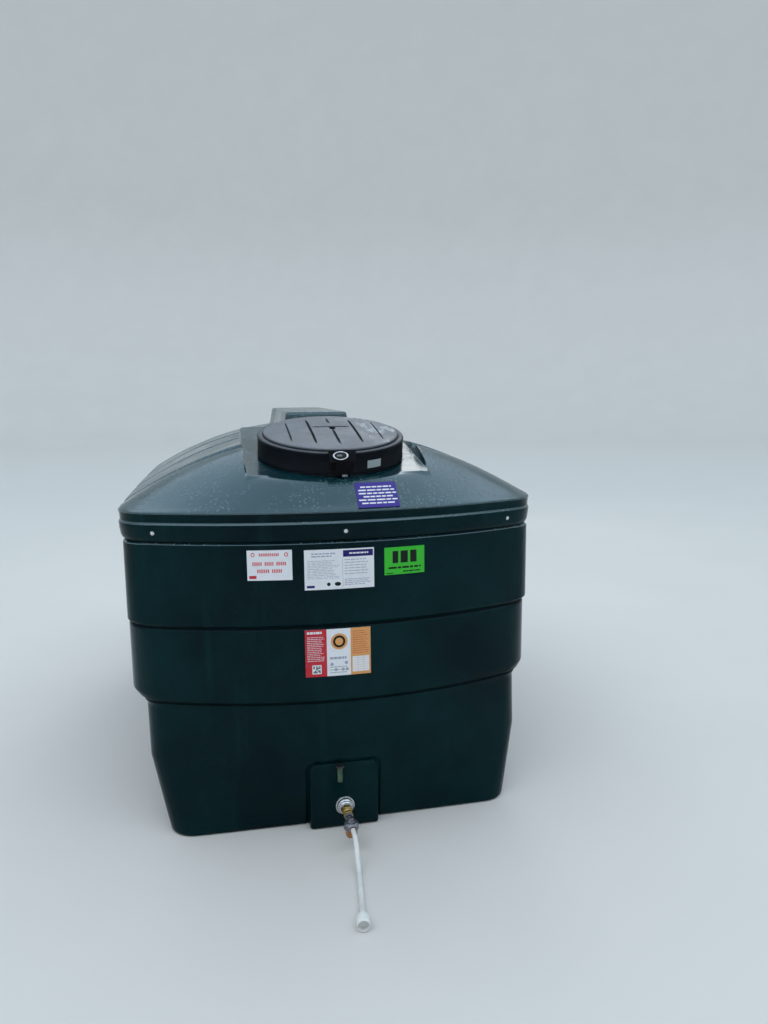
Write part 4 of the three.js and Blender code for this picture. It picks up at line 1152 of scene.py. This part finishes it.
def outlet():
    to_outlet = moved(OUTLET_X, PAD_FRONT_Y, OUTLET_Z) @ rotated(pi / 2, "X")
    gland = [
        (0, 0.3), (34, 0.3), (34, 5), (33, 7.5), (30, 9), (29.2, 11), (29.2, 14), (28.4, 17), (26, 20),
        (24.6, 21), (24.6, 24), (23.4, 26.5), (21, 28), (20, 29), (20, 32), (18.8, 33.8), (0, 33.8),
    ]
    thread = [(0, 50.6), (12.5, 50.6)]
    for i in range(4):
        thread += [(12.5, 51.6 + 3.6 * i), (11.4, 53 + 3.6 * i), (12.5, 54.4 + 3.6 * i)]
    thread += [(11.5, 66.6), (11.5, 79.4), (0, 79.4)]
    valve = [
        (0, 79.7), (12, 79.7), (12, 82), (14, 83), (14, 89), (12.5, 90.5), (12.5, 99), (14, 100.5),
        (14, 106), (12, 107.5), (12, 109.6), (0, 109.6),
    ]
    for name, profile, finish, slot, node, segments in (
        ("gland_body", gland, steel, "steel", "outlet_gland", 48),
        ("gland_nut", chamfered(19, 34.3, 50.3), brass, "brass", "outlet_nut", 6),
        ("union_body", thread, brass, "brass", "outlet_union", 48),
        ("union_collar", chamfered(17, 67.3, 79.3), brass, "brass", "outlet_union_collar", 6),
        ("valve_shell", valve, cast, "cast_metal", "valve_body", 48),
    ):
        lathe(name, profile, to_outlet, finish, slot, node, segments=segments)

    to_filter = moved(OUTLET_X, PAD_FRONT_Y - FILTER_OUT, OUTLET_Z)
    head = [
        (0, -12), (23, -12), (24, -11.2), (24, -5), (25.5, -4), (25.5, 5), (24, 6.5), (22, 9.5), (17, 12),
        (12.5, 13), (11, 14.5), (11, 19), (10, 20.2), (8.4, 20.2), (8.2, 25), (7, 26), (0, 26),
    ]
    shape = Shape().add(*turned(head, 48), place=to_filter)
    rib = [(-23.5, -11.4), (-25.2, -11.4), (-25.2, -5), (-23.5, -5)]
    for i in range(FILTER_RIBS):
        shape.add(*prism(rib, -1, 1), place=to_filter @ rotated(2 * pi * i / FILTER_RIBS, "Z"))
    shape.piece("filter_cap", [cast], "cast_metal", "filter_head")
    bowl = [
        (0, -46), (4, -46), (4, -43.5), (9, -43.2), (14, -41.5), (18, -38), (20, -33), (20.6, -26),
        (20.6, -17), (21, -16), (21, -12.4), (0, -12.4),
    ]
    lathe("bowl_shell", bowl, to_filter, bowl_amber, "amber_bowl", "filter_bowl")
    stub = chamfered(9, 25.8, 35.2, 1)
    to_front = to_filter @ rotated(pi / 2, "X")
    lathe("stub_end", stub, to_front, copper, "brass", "outlet_stub", segments=6)


def supply_hose():
    """White hose from the outlet's end down to the ground and along it, ending in its socket."""
    route = [Vector(point) * MM + TANK_SHIFT for point in HOSE_ROUTE]
    curve = bpy.data.curves.new("supply_hose_line", "CURVE")
    curve.dimensions = "3D"
    curve.bevel_depth = HOSE_RADIUS * MM
    curve.bevel_resolution = 6
    curve.resolution_u = 8
    curve.use_fill_caps = True
    spline = curve.splines.new("BEZIER")
    spline.bezier_points.add(len(route) - 1)
    for knot, place in zip(spline.bezier_points, route):
        knot.co = place
        knot.handle_left_type = knot.handle_right_type = "AUTO"
    curve.materials.append(hose_white)
    hose = in_scene("supply_hose_line", curve)
    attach(hose, "tank")
    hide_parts("supply_hose")
    heading = route[-1] - route[-2]
    to_socket = moved(*HOSE_ROUTE[-1]) @ rotated(atan2(heading.x, -heading.y), "Z")
    to_socket = to_socket @ rotated(pi / 2, "X")
    cup = [
        (0, 0.4), (9.6, 0.4), (13.4, 1.2), (16.8, 3.6), (18.8, 7), (19.5, 11), (19.5, 40), (18.9, 41),
        (18.9, 44.6), (18, 46), (16.4, 46), (16, 44), (16, 28), (0, 28),
    ]
    socket = lathe("socket_cup", cup, to_socket, hose_white, "white_plastic", "hose_socket")


def spigot():
    """Sight tube under its cap at the top of the pad."""
    place = moved(SPIGOT_X, PAD_FRONT_Y - 10.3, 0)
    tube = [(0, 177), (4, 177), (6, 176.6), (8.6, 178), (9.8, 181.5), (10, 186), (10, 232.7), (0, 232.7)]
    lathe("sight_tube", tube, place, tube_green, "pale_plastic", "spigot_tube", segments=32)
    plug = [(0, 176.2), (2.4, 176.2), (2.8, 177.4), (0, 177.4)]
    cap = [(0, 233.3), (14, 233.3), (15, 234.3), (15, 238.5), (14, 240), (0, 240)]
    shape = Shape().add(*turned(cap, 40), place=moved(SPIGOT_X, PAD_FRONT_Y - 15.3, 0))
    shape.add(*turned(plug, 16), place=place).piece("sight_cap", [black], "black_plastic", "spigot_cap")


supply_hose()
bund_skin()
roof_skin()
neck()
lid()
clasp()
bare_nodes()
screws()
labels()
outlet()
spigot()


# Stage, light and camera


def stage():
    """Pale round floor that turns up into a backdrop far off on every side; its sizes are in metres."""
    flat, turn_radius, top = 24, 10, 26
    profile = [(0, 0), (8, 0)]
    for step in range(16):
        turn = radians(6 * step)
        profile.append((flat + turn_radius * sin(turn), turn_radius * (1 - cos(turn))))
    profile.append((flat + turn_radius, top))
    points, faces = turned(profile, 96)
    mesh = bpy.data.meshes.new("floor")
    mesh.from_pydata(points, [], faces)
    cleaned(mesh, 35)
    floor = in_scene("floor", mesh)
    finish = Finish("floor_pale")
    tone = finish.noise(0.9, 4)
    finish.paint("Base Color", finish.blend(tone, (0.68, 0.65, 0.615), (0.74, 0.71, 0.675)))
    finish.paint("Roughness", finish.spread(tone, 0.3, 0.7, 0.6, 0.75))
    mesh.materials.append(finish.material)


def sky():
    """Overcast sky: dark at the horizon, brightest about 30 degrees up, dimmer overhead."""
    world = bpy.data.worlds.new("studio")
    bpy.context.scene.world = world
    world.use_nodes = True
    tree = world.node_tree
    background = tree.nodes["Background"]
    kinds = ("TexCoord", "SeparateXYZ", "ValToRGB")
    place, split, ramp = (tree.nodes.new(f"ShaderNode{kind}") for kind in kinds)
    tree.links.new(place.outputs["Generated"], split.inputs[0])
    tree.links.new(split.outputs["Z"], ramp.inputs[0])
    stops = ramp.color_ramp.elements
    for middle in (0.3, 0.5, 0.8):
        stops.new(middle)
    heights = (0.05, 0.3, 0.52, 0.8, 1.0)
    colours = (
        (0.1, 0.12, 0.12), (0.45, 0.53, 0.58), (1.25, 1.48, 1.7), (1.0, 1.2, 1.4), (0.58, 0.76, 0.9),
    )
    for stop, height, colour in zip(stops, heights, colours):
        stop.position = height
        stop.color = (*colour, 1)
    tree.links.new(ramp.outputs[0], background.inputs["Color"])
    background.inputs["Strength"].default_value = 1.0


def area_light(name, place, aim, size, power, mirrored=False):
    """Round soft lamp; gloss shows it only where it is mirrored."""
    light = bpy.data.lights.new(name, "AREA")
    light.shape = "DISK"
    light.size = size
    light.energy = power
    lamp = in_scene(name, light)
    lamp.visible_camera = False
    lamp.visible_glossy = mirrored
    lamp.location = place
    lamp.rotation_euler = (Vector(aim) - Vector(place)).to_track_quat("-Z", "Y").to_euler()


def camera():
    yaw, pitch, roll = (radians(a) for a in CAMERA_TURNS)
    turn = rotated(-yaw, "Z") @ rotated(pi / 2 - pitch, "X") @ rotated(roll, "Z")
    data = bpy.data.cameras.new("camera")
    data.sensor_width = SENSOR
    data.lens = FOCAL_PIXELS / IMAGE_HEIGHT * SENSOR
    data.clip_end = 200
    rig = in_scene("camera", data)
    rig.matrix_world = Matrix.Translation(Vector(CAMERA_PLACE) * MM + TANK_SHIFT) @ turn
    bpy.context.scene.camera = rig


stage()
sky()
area_light("overhead", (-1.5, -2.5, 6), (0, 0, 0.5), size=7, power=70)
area_light("far_window", (2.1, 5.9, 5.6), (0.3, -0.7, 1.3), size=2.6, power=36, mirrored=True)
camera()
bpy.context.scene.view_settings.view_transform = "Standard"
